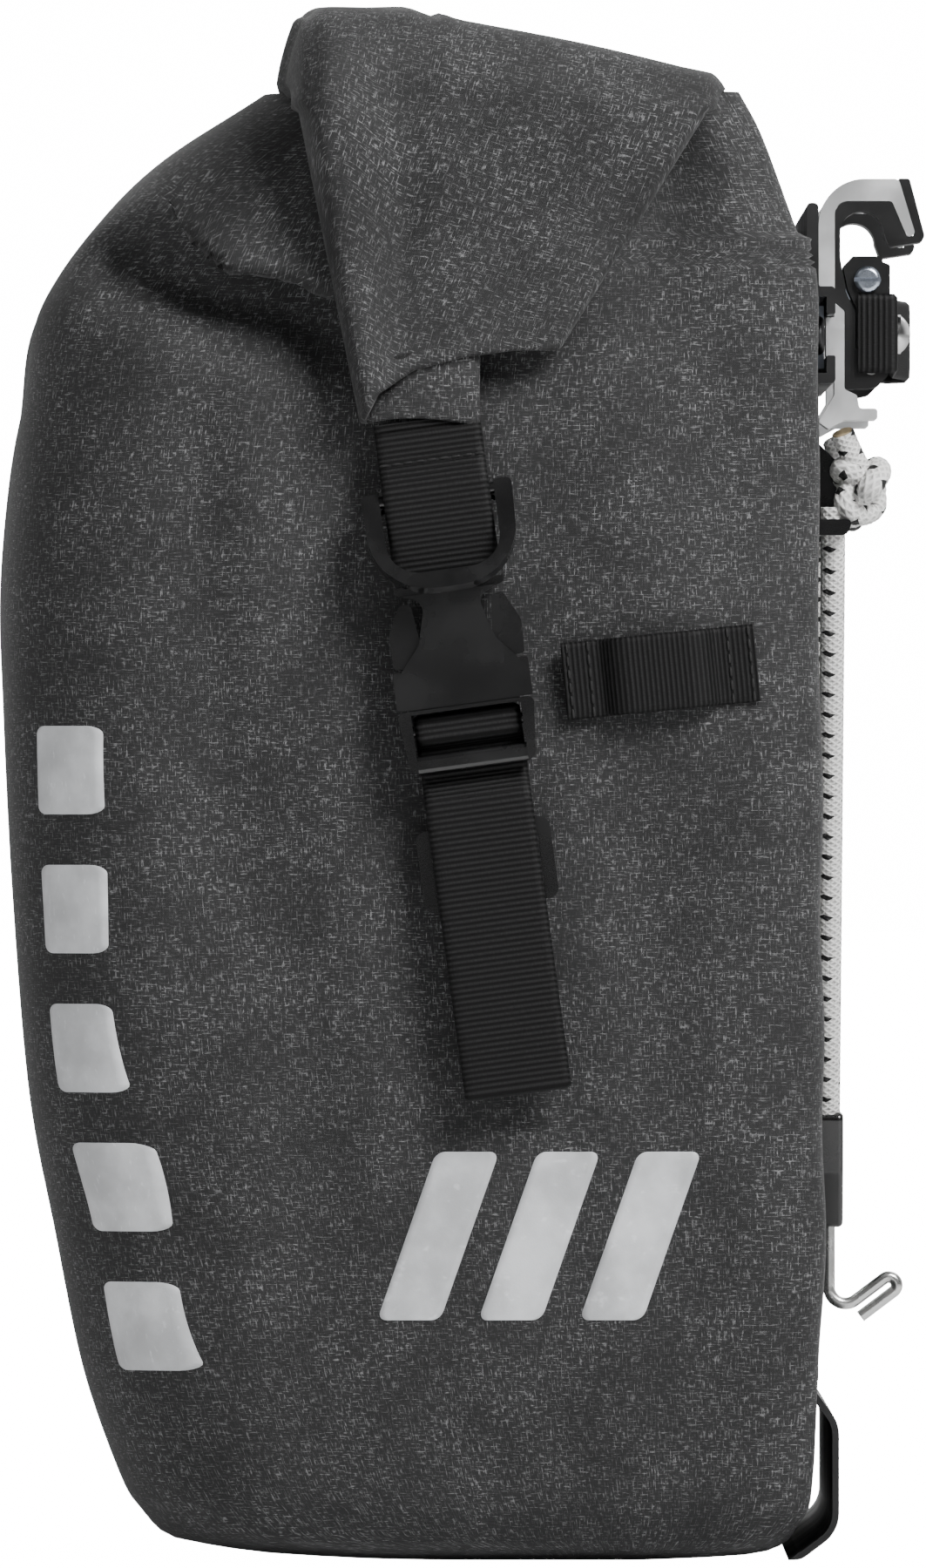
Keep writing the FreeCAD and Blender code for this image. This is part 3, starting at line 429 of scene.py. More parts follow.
def webbingMaterial(name, color, pitch):
    # The ribs come from the mesh; this paints a highlight on their crests and shade in their grooves into the
    # colour, and adds the yarn's own grain.
    mat, nt, bsdf = newMaterial(name, color, 0.62)
    uv = nt.nodes.new("ShaderNodeTexCoord").outputs["UV"]
    yarn = noiseNode(nt, stretched(nt, uv, 2600, 700, 1), 1.0, 2.0)
    parts = nt.nodes.new("ShaderNodeSeparateXYZ")
    nt.links.new(uv, parts.inputs[0])
    # painted light and shade: the colour is lighter on each rib's crest and darker in the groove between
    # ribs, broken up by the yarn
    rib = mathNode(nt, "COSINE", times(nt, parts.outputs[1], 2 * math.pi / pitch))
    paintedRibLight = times(nt, rangeNode(nt, rib, -0.5, 0.9), rangeNode(nt, yarn, 0.3, 0.7, 0.6, 1.0))
    # a darkened (painted shade) and a brightened (painted highlight) copy of the webbing colour
    litAndShadedRibColors = [scaled(color, k) for k in (0.12, 3.4)]
    nt.links.new(colorMix(nt, paintedRibLight, *litAndShadedRibColors), bsdf.inputs["Base Color"])
    bumpFrom(nt, bsdf, yarn, 0.5, 0.00015)
    bsdf.inputs["Specular IOR Level"].default_value = 0.2
    return mat


def braidMaterial(name, white, tracer):
    # A braided cover with painted shade between its strands; the map runs in metres along and in turns round
    # the cord.
    mat, nt, bsdf = newMaterial(name, white, 0.6)
    uv = nt.nodes.new("ShaderNodeTexCoord").outputs["UV"]
    parts = nt.nodes.new("ShaderNodeSeparateXYZ")
    nt.links.new(uv, parts.inputs[0])
    along, around = parts.outputs[0], parts.outputs[1]
    waves = []
    for hand in (1, -1):
        turn = plus(nt, times(nt, along, 620.0), times(nt, around, hand * 8.0))
        waves.append(mathNode(nt, "SINE", times(nt, turn, 6.2832)))
    plait = mathNode(nt, "MAXIMUM", waves[0], waves[1])
    # painted shade: the white cover is coloured darker in the grooves between the plaited strands
    paintedGrooveShade = rangeNode(nt, plait, -0.2, 0.9)
    cover = colorMix(nt, paintedGrooveShade, scaled(white, 0.72), white)
    repeats = times(nt, along, 190.0)
    helix = mathNode(nt, "FRACT", plus(nt, repeats, around))
    dash = mathNode(nt, "FRACT", mathNode(nt, "SUBTRACT", repeats, times(nt, around, 2.0)))
    line = times(nt, mathNode(nt, "LESS_THAN", helix, 0.26), mathNode(nt, "LESS_THAN", dash, 0.42))
    nt.links.new(colorMix(nt, line, cover, tracer), bsdf.inputs["Base Color"])
    bumpFrom(nt, bsdf, plait, 0.6, 0.0003)
    return mat


finishes = {
    "fabric": fabricMaterial("heatherCoatedFabric", (0.0215, 0.0216, 0.022), (0.2, 0.2, 0.204), 0.9),
    "webbing": webbingMaterial("ribbedWebbing", (0.0045, 0.0045, 0.0046), 1.35 * mm),
    "fineWebbing": webbingMaterial("fineWebbing", (0.0045, 0.0045, 0.0046), 1.2 * mm),
    "thread": plasticMaterial("blackThread", (0.006, 0.006, 0.006), 0.7),
    "acetal": plasticMaterial("mouldedAcetal", (0.0045, 0.0045, 0.0047), 0.24, 1400, 0.05, 0.6),
    "rail": plasticMaterial("railPlastic", (0.006, 0.006, 0.0063), 0.42, 900, 0.1),
    "liner": plasticMaterial("linerPlastic", (0.006, 0.006, 0.0062), 0.4, 1200, 0.1),
    "guard": plasticMaterial("guardSheet", (0.0055, 0.0055, 0.006), 0.42, 600, 0.15),
    "inner": plasticMaterial("stiffenerSheet", (0.05, 0.05, 0.05), 0.6),
    "aluminium": metalMaterial("satinAluminium", (0.93, 0.935, 0.94), 0.42),
    "zinc": metalMaterial("zincPlate", (0.62, 0.68, 0.78), 0.3),
    "chrome": metalMaterial("nickelPlate", (0.78, 0.78, 0.78), 0.16, 400, 0.02, 0.2),
    "stainless": metalMaterial("stainlessWire", (0.72, 0.72, 0.71), 0.24),
    "blackSteel": metalMaterial("blackenedSteel", (0.06, 0.06, 0.062), 0.4),
    "braid": braidMaterial("braidedCord", (0.93, 0.92, 0.9), (0.01, 0.01, 0.01)),
    "core": plasticMaterial("cutCordCore", (0.42, 0.33, 0.2), 0.7),
    "film": plasticMaterial("reflectiveFilm", (0.56, 0.57, 0.585), 0.42, 2600, 0.25),
}

makeStudio(studio)
print("studio and materials made")

# where the CAD pieces are
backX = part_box("bag_shell")[1][0]
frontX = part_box("bag_shell")[0][0]
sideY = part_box("bag_shell")[1][1]

# shock cord
shockCord = {
    "radius": 3.0 * mm,
    "length": 0.350,
    "plait": 0.16 * mm,
    "out": 7.0 * mm, "spread": 66 * mm,  # where it leaves the knots, from the bag's back and middle
    "top": 251.5 * mm, "below": 243.7 * mm,
    "turnOut": 6.5 * mm, "turnHeight": 80.7 * mm,
    "knotTurn": 2.12 * mm, "knotOut": 13.6 * mm, "knotHeight": 256.4 * mm,
    "straight": 26 * mm,  # how far from the turn in the yoke the strands run straight
}


def cordRoute(c):
    # The cord's route: down through the near bracket, round the yoke and up to the far one.
    top = np.array([backX + c["out"], -c["spread"], c["top"]])
    below = np.array([backX + c["out"], -c["spread"], c["below"]])
    cross = np.array([backX + c["turnOut"], 0, c["turnHeight"]])
    run = (below - cross) / np.linalg.norm(below - cross)
    lowStop = cross + run * c["straight"]
    highStop = below - run * 30 * mm
    half = [top, below, highStop, lowStop]
    return half + [cross] + [p * np.array([1, -1, 1]) for p in half[::-1]]


def nurbsLine(name, points, closed=False, steps=24):
    # The points of a smooth spline through a route, read from Blender's own curve.
    curve = bpy.data.curves.new(name, "CURVE")
    curve.dimensions = "3D"
    spline = curve.splines.new("NURBS")
    spline.points.add(len(points) - 1)
    for point, co in zip(spline.points, points):
        point.co = (*co, 1)
    spline.order_u = 3
    spline.use_endpoint_u = not closed
    spline.use_cyclic_u = closed
    spline.resolution_u = steps
    obj = bpy.data.objects.new(name, curve)
    bpy.context.collection.objects.link(obj)
    bpy.context.view_layer.update()
    mesh = bpy.data.meshes.new_from_object(obj.evaluated_get(bpy.context.evaluated_depsgraph_get()))
    line = np.array([v.co[:] for v in mesh.vertices])
    bpy.data.objects.remove(obj)
    bpy.data.meshes.remove(mesh)
    return line


def tubeAlong(name, line, radius, around=28, plait=0.0, closed=False):
    # A round cord along a line, with its map in metres along and turns round.
    n = len(line)
    if closed:
        ahead = np.roll(line, -1, axis=0) - np.roll(line, 1, axis=0)
    else:
        ahead = np.gradient(line, axis=0)
    ahead /= np.linalg.norm(ahead, axis=1)[:, None]
    run = distances(line)
    side = np.cross(ahead[0], [0, 0, 1])
    if np.linalg.norm(side) < 0.1:
        side = np.cross(ahead[0], [0, 1, 0])
    rows, maps = [], []
    angles = np.linspace(0, 2 * math.pi, around + 1)
    for k in range(n):
        side = side - ahead[k] * np.dot(side, ahead[k])
        side /= np.linalg.norm(side)
        up = np.cross(ahead[k], side)
        bumps = plait * np.maximum(
            np.sin(8 * angles + run[k] * 3900), np.sin(8 * angles - run[k] * 3900)
        )
        r = (radius - plait + bumps)[:, None]
        rows.append(line[k] + r * (np.cos(angles)[:, None] * side + np.sin(angles)[:, None] * up))
        maps.append(np.stack([np.full(around + 1, run[k]), angles / (2 * math.pi)], axis=-1))
    return gridMesh(name, np.array(rows), uv=np.array(maps), caps=not closed)


def resample(line, step):
    run = distances(line)
    want = np.linspace(0, run[-1], max(4, int(run[-1] / step)))
    return np.stack([np.interp(want, run, line[:, k]) for k in range(3)], axis=-1)


def makeCord(c):
    line = nurbsLine("cordLine", cordRoute(c))
    cord = tubeAlong("shockCord", resample(line, 0.55 * mm), c["radius"], plait=c["plait"])
    cord.data.materials.append(finishes["braid"])
    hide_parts("shock_cord")
    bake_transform(cord)

    # a tied stopper knot over each bracket, with the cut end standing up
    for sign, name in ((-1, "near"), (1, "far")):
        low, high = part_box(f"{name}_cord_knot")
        centre = np.array([backX + c["knotOut"], sign * c["spread"], c["knotHeight"]])
        t = np.linspace(0, 2 * math.pi, 12, endpoint=False)
        knot = c["knotTurn"] * np.stack([
            np.sin(t) + 2 * np.sin(2 * t), np.cos(t) - 2 * np.cos(2 * t), -1.5 * np.sin(3 * t),
        ], axis=-1)
        spin = math.radians(30 * sign)
        knot = knot[:, [0, 2, 1]] * np.array([1.0, 1.25, 1.12])
        cosine, sine = math.cos(spin), math.sin(spin)
        knot[:, :2] = knot[:, :2] @ np.array([[cosine, sine], [-sine, cosine]])
        loop = nurbsLine("knotLine", centre + knot, closed=True)
        body = tubeAlong(f"{name}CordKnot", np.vstack([loop, loop[:1]]), c["radius"], plait=c["plait"])
        body.data.materials.append(finishes["braid"])
        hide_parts(f"{name}_cord_knot")
        tail = nurbsLine("tailLine", [
            centre + np.array([1.5, 0, 1]) * mm, centre + np.array([-2.2, sign * 1.5, 7]) * mm,
            centre + np.array([-4.4, sign * 3.5, 12.8]) * mm,
        ])
        stub = tubeAlong(f"{name}CordTail", resample(tail, 0.5 * mm), c["radius"] * 0.97, plait=c["plait"])
        stub.data.materials.append(finishes["braid"])
        end = tail[-1] - tail[-2]
        end /= np.linalg.norm(end)
        cut = np.array([tail[-1] + end * k * mm for k in (-2, 0.25, 0.35)])
        core = tubeAlong(f"{name}CordCore", cut, c["radius"] * 0.82)
        core.data.materials.append(finishes["core"])
        for piece in (body, stub, core):
            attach(piece, "bag")


makeCord(shockCord)
print("shock cord made")

# the bag's fabric body
bagBody = {
    "frontCorner": 38 * mm, "backCorner": 14 * mm,
    "rowStep": 1.9 * mm, "columnStep": 2.3 * mm,
    "dentDepth": 17.0, "lipHeight": 4.2, "lipDrop": 8.5,
    "waveHeight": 0.85,
    "edgeBulge": 3.6,
    # outline seen from the side: height, then how far the front and the back are behind the foremost point
    "front": [
        (0.3, 78), (1.6, 62), (3.6, 49), (6, 39.5), (12, 33.6), (20, 28.6), (45, 20), (78, 13), (112, 6.6),
        (160, 3), (205, 1), (232, 0.3), (262, 2.6), (288, 7), (302, 11.5), (317, 22), (334, 38.5), (350, 63),
    ],
    "back": [
        (0.3, 160), (1.6, 178), (4, 186), (9, 190), (20, 191.8), (60, 192), (294, 192), (309, 190.2),
        (325, 185.4), (340, 179.5), (350, 174),
    ],
    "half": [
        (0.3, 96), (1.6, 108), (4, 114.5), (9, 118), (20, 120.6), (70, 124.6), (200, 124.9), (300, 124.6),
        (350, 124),
    ],
}
# the fold of the side panel that hangs over the dent, and the bottom of the dent
foldEdge = [(34, 327.5), (41, 325.5), (47, 320), (54, 313.8), (66, 313), (78, 308), (104, 300)]
dentLine = [(18, 310.5), (30, 309), (42, 306), (54, 301), (66, 299.5), (78, 295.5), (110, 288)]


def profile(points, z):
    curve = smoothCurve(points, 700)
    order = np.argsort(curve[:, 0])
    return np.interp(z, curve[order, 0], curve[order, 1])


def sideShape(x, z, seed):
    # How far the side fabric stands out from flat, and how far it slips down, in mm.
    b = bagBody
    edge = np.interp(x, *zip(*foldEdge))
    dent = np.interp(x, *zip(*dentLine))
    above = z - edge
    folded = ease(x, 37, 46) * (1 - ease(x, 104, 122))
    hollow = ease(x, 12, 30) * (1 - 0.65 * ease(x, 62, 96)) * (1 - ease(x, 104, 140))
    down = np.maximum(dent - z, 0)
    up = np.maximum(z - dent, 0)
    trough = -b["dentDepth"] * hollow * bell(down, 11.5) * bell(up, 7.5 + 4.5 * ease(x, 30, 56))
    lip = folded * ease(above, -0.6, 0.9)
    out = trough * (1 - lip) + lip * b["lipHeight"] * np.exp(-np.maximum(above, 0) / 9)
    drop = b["lipDrop"] * folded * ease(above, -2.2, 0.4) * np.exp(-np.maximum(above, 0) / 6)
    # the ridge that bounds the dent on the left
    ridgeLine = np.interp(x, (14, 22, 34, 44), (309, 319.5, 325.5, 326))
    ridge = bell(z - ridgeLine, 4.5) * ease(x, 10, 17) * (1 - ease(x, 38, 50))
    out = out + 2.4 * ridge
    # the panel is drawn in beside the ear, with a soft crease below
    out = out - 3.4 * bell(x - 158, 17) * bell(z - 334, 15)
    crease = (z - 303) * 0.80 - (x - 168) * 0.42
    out = out + 0.9 * bell(crease, 2.4) * bell(x - 168, 9) - 0.9 * bell(crease + 5, 5) * bell(x - 168, 12)
    # a slack line that runs down from the dent
    out = out - 1.0 * bell(x - 46 - (300 - z) * 0.06, 6) * ease(z, 120, 210) * (1 - ease(z, 262, 288))
    out = out + 0.5 * bell(x - 57 - (300 - z) * 0.05, 5) * ease(z, 150, 230) * (1 - ease(z, 262, 288))
    calm = 0.35 + 0.65 * ease(z, 20, 90)
    wave = softNoise(x, z * 0.45, 34, seed) * b["waveHeight"] + softNoise(x, z, 85, seed + 1) * 0.9
    return out + (wave - 0.9) * calm, drop


def makeBody(b):
    step = b["rowStep"] / mm
    zs = np.concatenate([
        [0.3, 0.9, 1.6, 2.6, 3.8, 5.2, 7, 9], np.arange(11, 268, step), np.arange(268, 326, step / 2.4),
        np.arange(326, 349.5, step), [349.6],
    ])
    front, back, half = (profile(b[k], zs) for k in ("front", "back", "half"))
    frontR, backR = b["frontCorner"] / mm, b["backCorner"] / mm
    step = b["columnStep"] / mm

    def spread(length):
        return np.linspace(0, 1, int(length / step), endpoint=False)

    runs = (
        ("back", spread(222)), ("backFar", spread(26)), ("far", spread(146)), ("frontFar", spread(62)),
        ("front", spread(174)), ("frontNear", spread(62)), ("near", spread(146)), ("backNear", spread(26)),
    )
    rows, maps = [], []
    for f, k, w, z in zip(front, back, half, zs):
        rf, rb = min(frontR, (k - f) / 2.2), min(backR, (k - f) / 2.6)
        xs, ys, us, at = [], [], [], 0.0
        for name, t in runs:
            if name == "back":
                x, y, length = k + 0 * t, -(w - rb) + 2 * (w - rb) * t, 2 * (125 - backR)
            elif name == "front":
                x, y, length = f + 0 * t, (w - rf) - 2 * (w - rf) * t, 2 * (125 - frontR)
            elif name in ("far", "near"):
                a, c = (k - rb, f + rf) if name == "far" else (f + rf, k - rb)
                x, y, length = a + (c - a) * t, (w if name == "far" else -w) + 0 * t, 192 - frontR - backR
            else:
                r, cx = (rb, k - rb) if name.startswith("back") else (rf, f + rf)
                begin = {"backFar": 0, "frontFar": 90, "frontNear": 180, "backNear": 270}[name]
                angle = np.radians(begin + 90 * t)
                sign = 1 if name.endswith("Far") else -1
                x, y = cx + r * np.cos(angle), sign * (w - r) + r * np.sin(angle)
                length = math.pi / 2 * (frontR if r == rf else backR)
            xs.append(x)
            ys.append(y)
            us.append(at + length * t)
            at += length
        level = np.full(sum(map(len, xs)), z)
        rows.append(np.stack([np.concatenate(xs), np.concatenate(ys), level], axis=-1))
        maps.append(np.stack([np.concatenate(us), level], axis=-1))
    p = np.array(rows)
    uv = np.array(maps)
    x, y, z = p[..., 0].copy(), p[..., 1].copy(), p[..., 2].copy()
    sideness = ease(np.abs(y), 88, 121)
    for sign, seed in ((-1, 11), (1, 23)):
        on = (np.sign(y) == sign) * sideness * ease(z, 6, 30)
        out, drop = sideShape(x, z, seed)
        p[..., 1] += sign * np.clip(out, -18, 4.5) * on
        p[..., 2] -= drop * on
    # slow waves across the front, and the back's side edges standing a little proud of its flat
    frontness = ease(-x, -40, -14) * (1 - 0.5 * sideness) * ease(z, 14, 50)
    swell = softNoise(y * 1.2, z * 0.5, 70, 31) * 0.8
    p[..., 0] += frontness * (swell + 1.1 * bell(z - 286, 16) * softNoise(y, z, 50, 33))
    behind = back[:, None] - x
    edge = ease(np.abs(y), 104, 116) * (1 - ease(behind, 2, 18)) * ease(z, 2, 14)
    edge = edge * (1 - 0.45 * ease(z, 296, 322))
    p[..., 0] += (b["edgeBulge"] + 1.3 * bell(z - 100, 55) + 0.5 * softNoise(z, y, 60, 37)) * edge
    top = ease(z, 318, 349)
    p[..., 0] += top * softNoise(y, z, 42, 35) * 0.6
    p[..., 0] = p[..., 0] * mm + frontX
    p[..., 1:] *= mm
    body = gridMesh("bagBody", p, wrap=True, uv=uv * mm, caps=True)
    body.data.materials.append(finishes["fabric"])
    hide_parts("bag_shell")
    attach(body, "bag")
    return body


body = makeBody(bagBody)
print("bag body made:", len(body.data.vertices), "points")

# the rolled mouth and its folded-down ends, one band of fabric
rolledMouth = {
    "base": 348.2,  # where the roll lies on the body
    "crown": 21.4, "backHeight": 5.0,
    "earInner": 126.3, "earThick": 6.6, "earRoll": 9.6,
    "threadTurnDeg": 9,
    "bendRadius": 4.0,
    "tipFront": 272, "tipBack": 288.5,
    "layer": 2.0,
}


def bandSection():
    # (fraction across, layer, side) round the band's section: over the outside, then back inside.
    outer = [(f, 1) for f in 0.5 - 0.5 * np.cos(np.linspace(0, math.pi, 74))]
    inner = [(f, 0) for f in np.linspace(1, 0, 40)[1:-1]]
    return outer + inner


def makeBand(r):
    section = bandSection()
    f = np.array([s[0] for s in section])
    outer = np.array([s[1] for s in section], float)
    tip = np.interp(
        f, (0, 0.1, 0.3, 0.55, 0.8, 1),
        (r["tipFront"] - 1, 277.6, 283.6, 286.8, 288.4, r["tipBack"]),
    )
    bendZ = r["base"] - r["bendRadius"]
    bendY = r["earInner"] - r["bendRadius"]
    stations = [("ear", e) for e in np.linspace(0, 1, 46)]
    stations += [("bend", e) for e in np.linspace(0, 1, 13)[1:-1]]
    stations += [("top", e) for e in np.linspace(0, 1, 130)]
    stations += [("bend2", e) for e in np.linspace(1, 0, 13)[1:-1]]
    stations += [("ear2", e) for e in np.linspace(1, 0, 46)]

    def heights(kind, e):
        # Thickness across the band: thick where it is rolled at the front, thin at the back.
        topH = np.interp(
            f, (0, 0.04, 0.09, 0.28, 0.97, 1),
            (13, 19.6, r["crown"], r["crown"], r["backHeight"] + 0.8, r["backHeight"] - 1),
        )
        earH = r["earThick"] * np.interp(f, (0, 0.5, 1), (1.0, 0.85, 0.62))
        earH = earH + (r["earRoll"] - r["earThick"]) * bell(f - 0.09, 0.1)
        if kind.startswith("ear"):
            h = earH * (1 + 0.75 * ease(e, 0.45, 1))
        elif kind.startswith("bend"):
            h = earH * 1.75 * (1 - ease(e, 0, 1)) + topH * ease(e, 0, 1)
        else:
            h = topH
        edge = np.clip(f / 0.055, 0, 1)
        back = np.clip((1 - f) / 0.03, 0, 1)
        h = h * np.sqrt(1 - (1 - edge) ** 2 * 0.94) * np.sqrt(1 - (1 - back) ** 2 * 0.7)
        return np.where(outer > 0, h, 0.0)

    rows = []
    for kind, e in stations:
        sign = 1 if kind in ("bend2", "ear2") else -1
        if kind.startswith("ear"):
            z = tip + (bendZ - tip) * e
            y = sign * r["earInner"] + 0 * z
            ny, nz = sign * 1.0, 0.0
        elif kind.startswith("bend"):
            a = e * math.pi / 2
            y = sign * (bendY + r["bendRadius"] * math.cos(a)) + 0 * f
            z = bendZ + r["bendRadius"] * math.sin(a) + 0 * f
            ny, nz = sign * math.cos(a), math.sin(a)
        else:
            y = -bendY + 2 * bendY * e + 0 * f
            z = r["base"] + 0 * f
            ny, nz = 0.0, 1.0
        left = np.interp(z, (270, 348, 352), (86, 70.6, 69.6)) if kind.startswith("ear") else 69.6 + 0 * f
        right = np.interp(z, (288.5, 348), (133.6, 170.4)) if kind.startswith("ear") else 170.4 + 0 * f
        if kind.startswith("bend"):
            left, right = left - 1.2 * ease(e, 0.3, 1), right + 2.2 * ease(e, 0, 1)
        if kind == "top":
            near = np.minimum(e, 1 - e)
            left = left - 1.2 - 2.4 * ease(near, 0.0, 0.03)
            right = right + 2.2
        h = heights(kind, e)
        x = left + f * (right - left)
        if kind.startswith("ear"):
            fade = 1 - 0.7 * ease(e, 0.8, 1)
            pleat = 0.8 * bell((x - 104) - (z - 320) * 0.22, 3.5) * ease(z, 300, 335)
            h = h + outer * fade * (0.35 * softNoise(x * 1.6, z, 38, 51 + sign) + pleat)
            h = h - outer * 0.9 * bell(f - 0.26, 0.05) * ease(e, 0.1, 0.6)
        else:
            h = h + outer * 0.5 * softNoise(x, y, 46, 57) * ease(f, 0.1, 0.3)
            # the edge of the last turn of the roll, and small tucks
            h = h - outer * 1.3 * bell(f - 0.335, 0.012) * (1 if kind == "top" else ease(e, 0.6, 1))
            h = h + outer * 0.5 * bell(f - 0.36, 0.02)
            h = h - outer * 1.0 * bell(f - 0.055 - 0.004 * np.sin(y * 0.06), 0.012)
        rows.append(np.stack([x, y + ny * h, z + nz * h], axis=-1))
    p = np.array(rows)
    # the threads run with the cloth: across the band, and up the ear then over the top
    step = np.linalg.norm(np.diff(p, axis=1), axis=2)
    across = np.concatenate([np.zeros((len(p), 1)), np.cumsum(step, axis=1)], axis=1)
    across -= across[:, 37:38]
    upward = p[..., 2] + (130 - np.abs(p[..., 1]))
    turn = math.radians(r["threadTurnDeg"])
    cosine, sine = math.cos(turn), math.sin(turn)
    uv = np.stack([across * cosine - upward * sine, across * sine + upward * cosine], axis=-1)

    def inset(ring):
        mid = ring.mean(axis=0)
        wall = np.clip(r["layer"] / np.maximum(np.abs(ring[:, 1] - mid[1]), 0.1), 0, 0.8)
        inner = ring.copy()
        inner[:, 1] += (mid[1] - ring[:, 1]) * wall
        inner[:, 0] = mid[0] + (ring[:, 0] - mid[0]) * 0.94
        return inner

    def pocketRows(order):
        # The open end of the fold: its lip turns in and goes up inside as a pocket.
        first = inset(p[order[0]])
        lip = (p[order[0]] + first) / 2 - np.array([0, 0, 0.5])
        return [lip, first] + [inset(p[k]) for k in order[2::3]]

    nearRows, farRows = pocketRows(list(range(7))), pocketRows([-k for k in range(1, 8)])
    p = np.concatenate([np.array(nearRows[::-1]), p, np.array(farRows)])
    nearMap, farMap = (np.repeat(k, n, axis=0) for k, n in ((uv[:1], len(nearRows)), (uv[-1:], len(farRows))))
    uv = np.concatenate([nearMap, uv, farMap])
    p[..., 0] = p[..., 0] * mm + frontX
    p[..., 1:] *= mm
    band = gridMesh("rolledMouth", p, wrap=True, uv=uv * mm, caps=True)
    band.data.materials.append(finishes["fabric"])
    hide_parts("rolled_mouth", "near_mouth_ear", "far_mouth_ear")
    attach(band, "bag")

    # the inner tongue that holds the webbing, inside the fold
    for sign, name in ((-1, "near"), (1, "far")):
        rowsT = []
        for t in np.linspace(0, 1, 26):
            ring = []
            for a in np.linspace(0, 2 * math.pi, 64, endpoint=False):
                c, s = math.cos(a), math.sin(a)
                u = math.copysign(abs(c) ** 0.35, c)
                v = math.copysign(abs(s) ** 0.6, s)
                lowZ = 270.2 + 1.7 * (1 - u * u) - 0.6 * u
                z = lowZ + (289 - lowZ) * t
                thick = 1.6 + 0.3 * math.sin(3 * t)
                x = 101.0 + 6 * t + u * 13.4 * (1 - 0.45 * t)
                ring.append((x, sign * (128.9 + thick * v - 0.4 * u * u - 0.5 * t), z))
            rowsT.append(ring)
        rowsT = np.array(rowsT)
        inside = (rowsT[0] - rowsT[0].mean(axis=0)) * np.array([0.93, 0.6, 0.93]) + rowsT[0].mean(axis=0)
        rowsT = np.concatenate([[inside + np.array([0, 0, 7.0])], [inside], rowsT])
        rowsT[..., 0] = rowsT[..., 0] * mm + frontX
        rowsT[..., 1:] *= mm
        uvT = rowsT[..., [0, 2]]
        tongue = gridMesh(f"{name}MouthTongue", rowsT, wrap=True, uv=uvT, caps=True, flip=sign > 0)
        tongue.data.materials.append(finishes["fabric"])
        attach(tongue, "bag")


makeBand(rolledMouth)
print("rolled mouth made")

# webbing
closure = {
    "tiltDeg": 7.8,
    "mouth": (-81.1, 204.3),  # the buckle's mouth: distance out from the back, and height
    "gap": 0.6,
    "width": 25.4, "thick": 1.55,
    "ribPitch": 1.35, "ribDepth": 0.26,
}


def roundedPath(points, step=0.3):
    # Even points along straight runs with rounded corners; points are (x, y, corner radius).
    pts = [np.array(p[:2], float) for p in points]
    out = [pts[0]]
    for k in range(1, len(pts) - 1):
        p, r = pts[k], points[k][2]
        a, b = pts[k - 1] - p, pts[k + 1] - p
        la, lb = np.linalg.norm(a), np.linalg.norm(b)
        a, b = a / la, b / lb
        half = math.acos(np.clip(a @ b, -1, 1)) / 2
        if r <= 0 or half > 1.565:
            out.append(p)
            continue
        reach = min(r / math.tan(half), 0.499 * la, 0.499 * lb)
        r = reach * math.tan(half)
        mid = (a + b) / np.linalg.norm(a + b)
        centre = p + mid * r / math.sin(half)
        start, stop = p + a * reach - centre, p + b * reach - centre
        sweep = math.pi - 2 * half
        turn = 1 if start[0] * stop[1] - start[1] * stop[0] > 0 else -1
        for t in np.linspace(0, 1, 10):
            c, s = math.cos(turn * sweep * t), math.sin(turn * sweep * t)
            out.append(centre + np.array([c * start[0] - s * start[1], s * start[0] + c * start[1]]))
    out.append(pts[-1])
    out = np.array(out)
    run = distances(out)
    want = np.linspace(0, run[-1], max(6, int(run[-1] / step)))
    return np.stack([np.interp(want, run, out[:, k]) for k in (0, 1)], axis=-1), want


def webbingMesh(name, path, place, width, thick, pitch, depth):
    # A woven strip along a path; place turns (across, up, out) into a point.
    line, run = roundedPath(path, pitch / 5)
    ahead = np.gradient(line, axis=0)
    ahead /= np.linalg.norm(ahead, axis=1)[:, None]
    normal = np.stack([-ahead[:, 1], ahead[:, 0]], axis=-1)
    across = np.linspace(-1, 1, 25)
    rows, maps = [], []
    for k in range(len(line)):
        rib = depth * (0.5 + 0.5 * math.cos(2 * math.pi * run[k] / pitch))
        selvedge = 1 - np.abs(across) ** 8
        h = (thick / 2 - depth) * np.sqrt(np.clip(1 - np.abs(across) ** 14, 0, 1)) + rib * selvedge
        edgeCord = 0.12 * bell(np.abs(across) - 0.93, 0.05)
        a = across * width / 2
        ring = []
        for side in (1, -1):
            order = slice(None) if side > 0 else slice(None, None, -1)
            for q, hh, e in zip(a[order], h[order], edgeCord[order]):
                off = line[k] + normal[k] * side * (hh + e)
                ring.append(place(q, off[1], off[0]))
        rows.append(ring)
        maps.append([(q, run[k]) for q in a] + [(q + width, run[k]) for q in a[::-1]])
    strip = gridMesh(name, np.array(rows) * mm, wrap=True, uv=np.array(maps) * mm, caps=True)
    strip.data.materials.append(finishes["webbing" if pitch > 1.3 else "fineWebbing"])
    return strip


def onSide(sign, at=closure["mouth"], tilt=closure["tiltDeg"]):
    # A place function for the side closure's own (across, up, out).
    c, s = math.cos(math.radians(tilt)), math.sin(math.radians(tilt))
    ox, oz = backX / mm + at[0], at[1]
    flat = sideY / mm + closure["gap"]
    return lambda a, b, out: (ox + a * c - b * s, sign * (flat + out), oz + a * s + b * c)


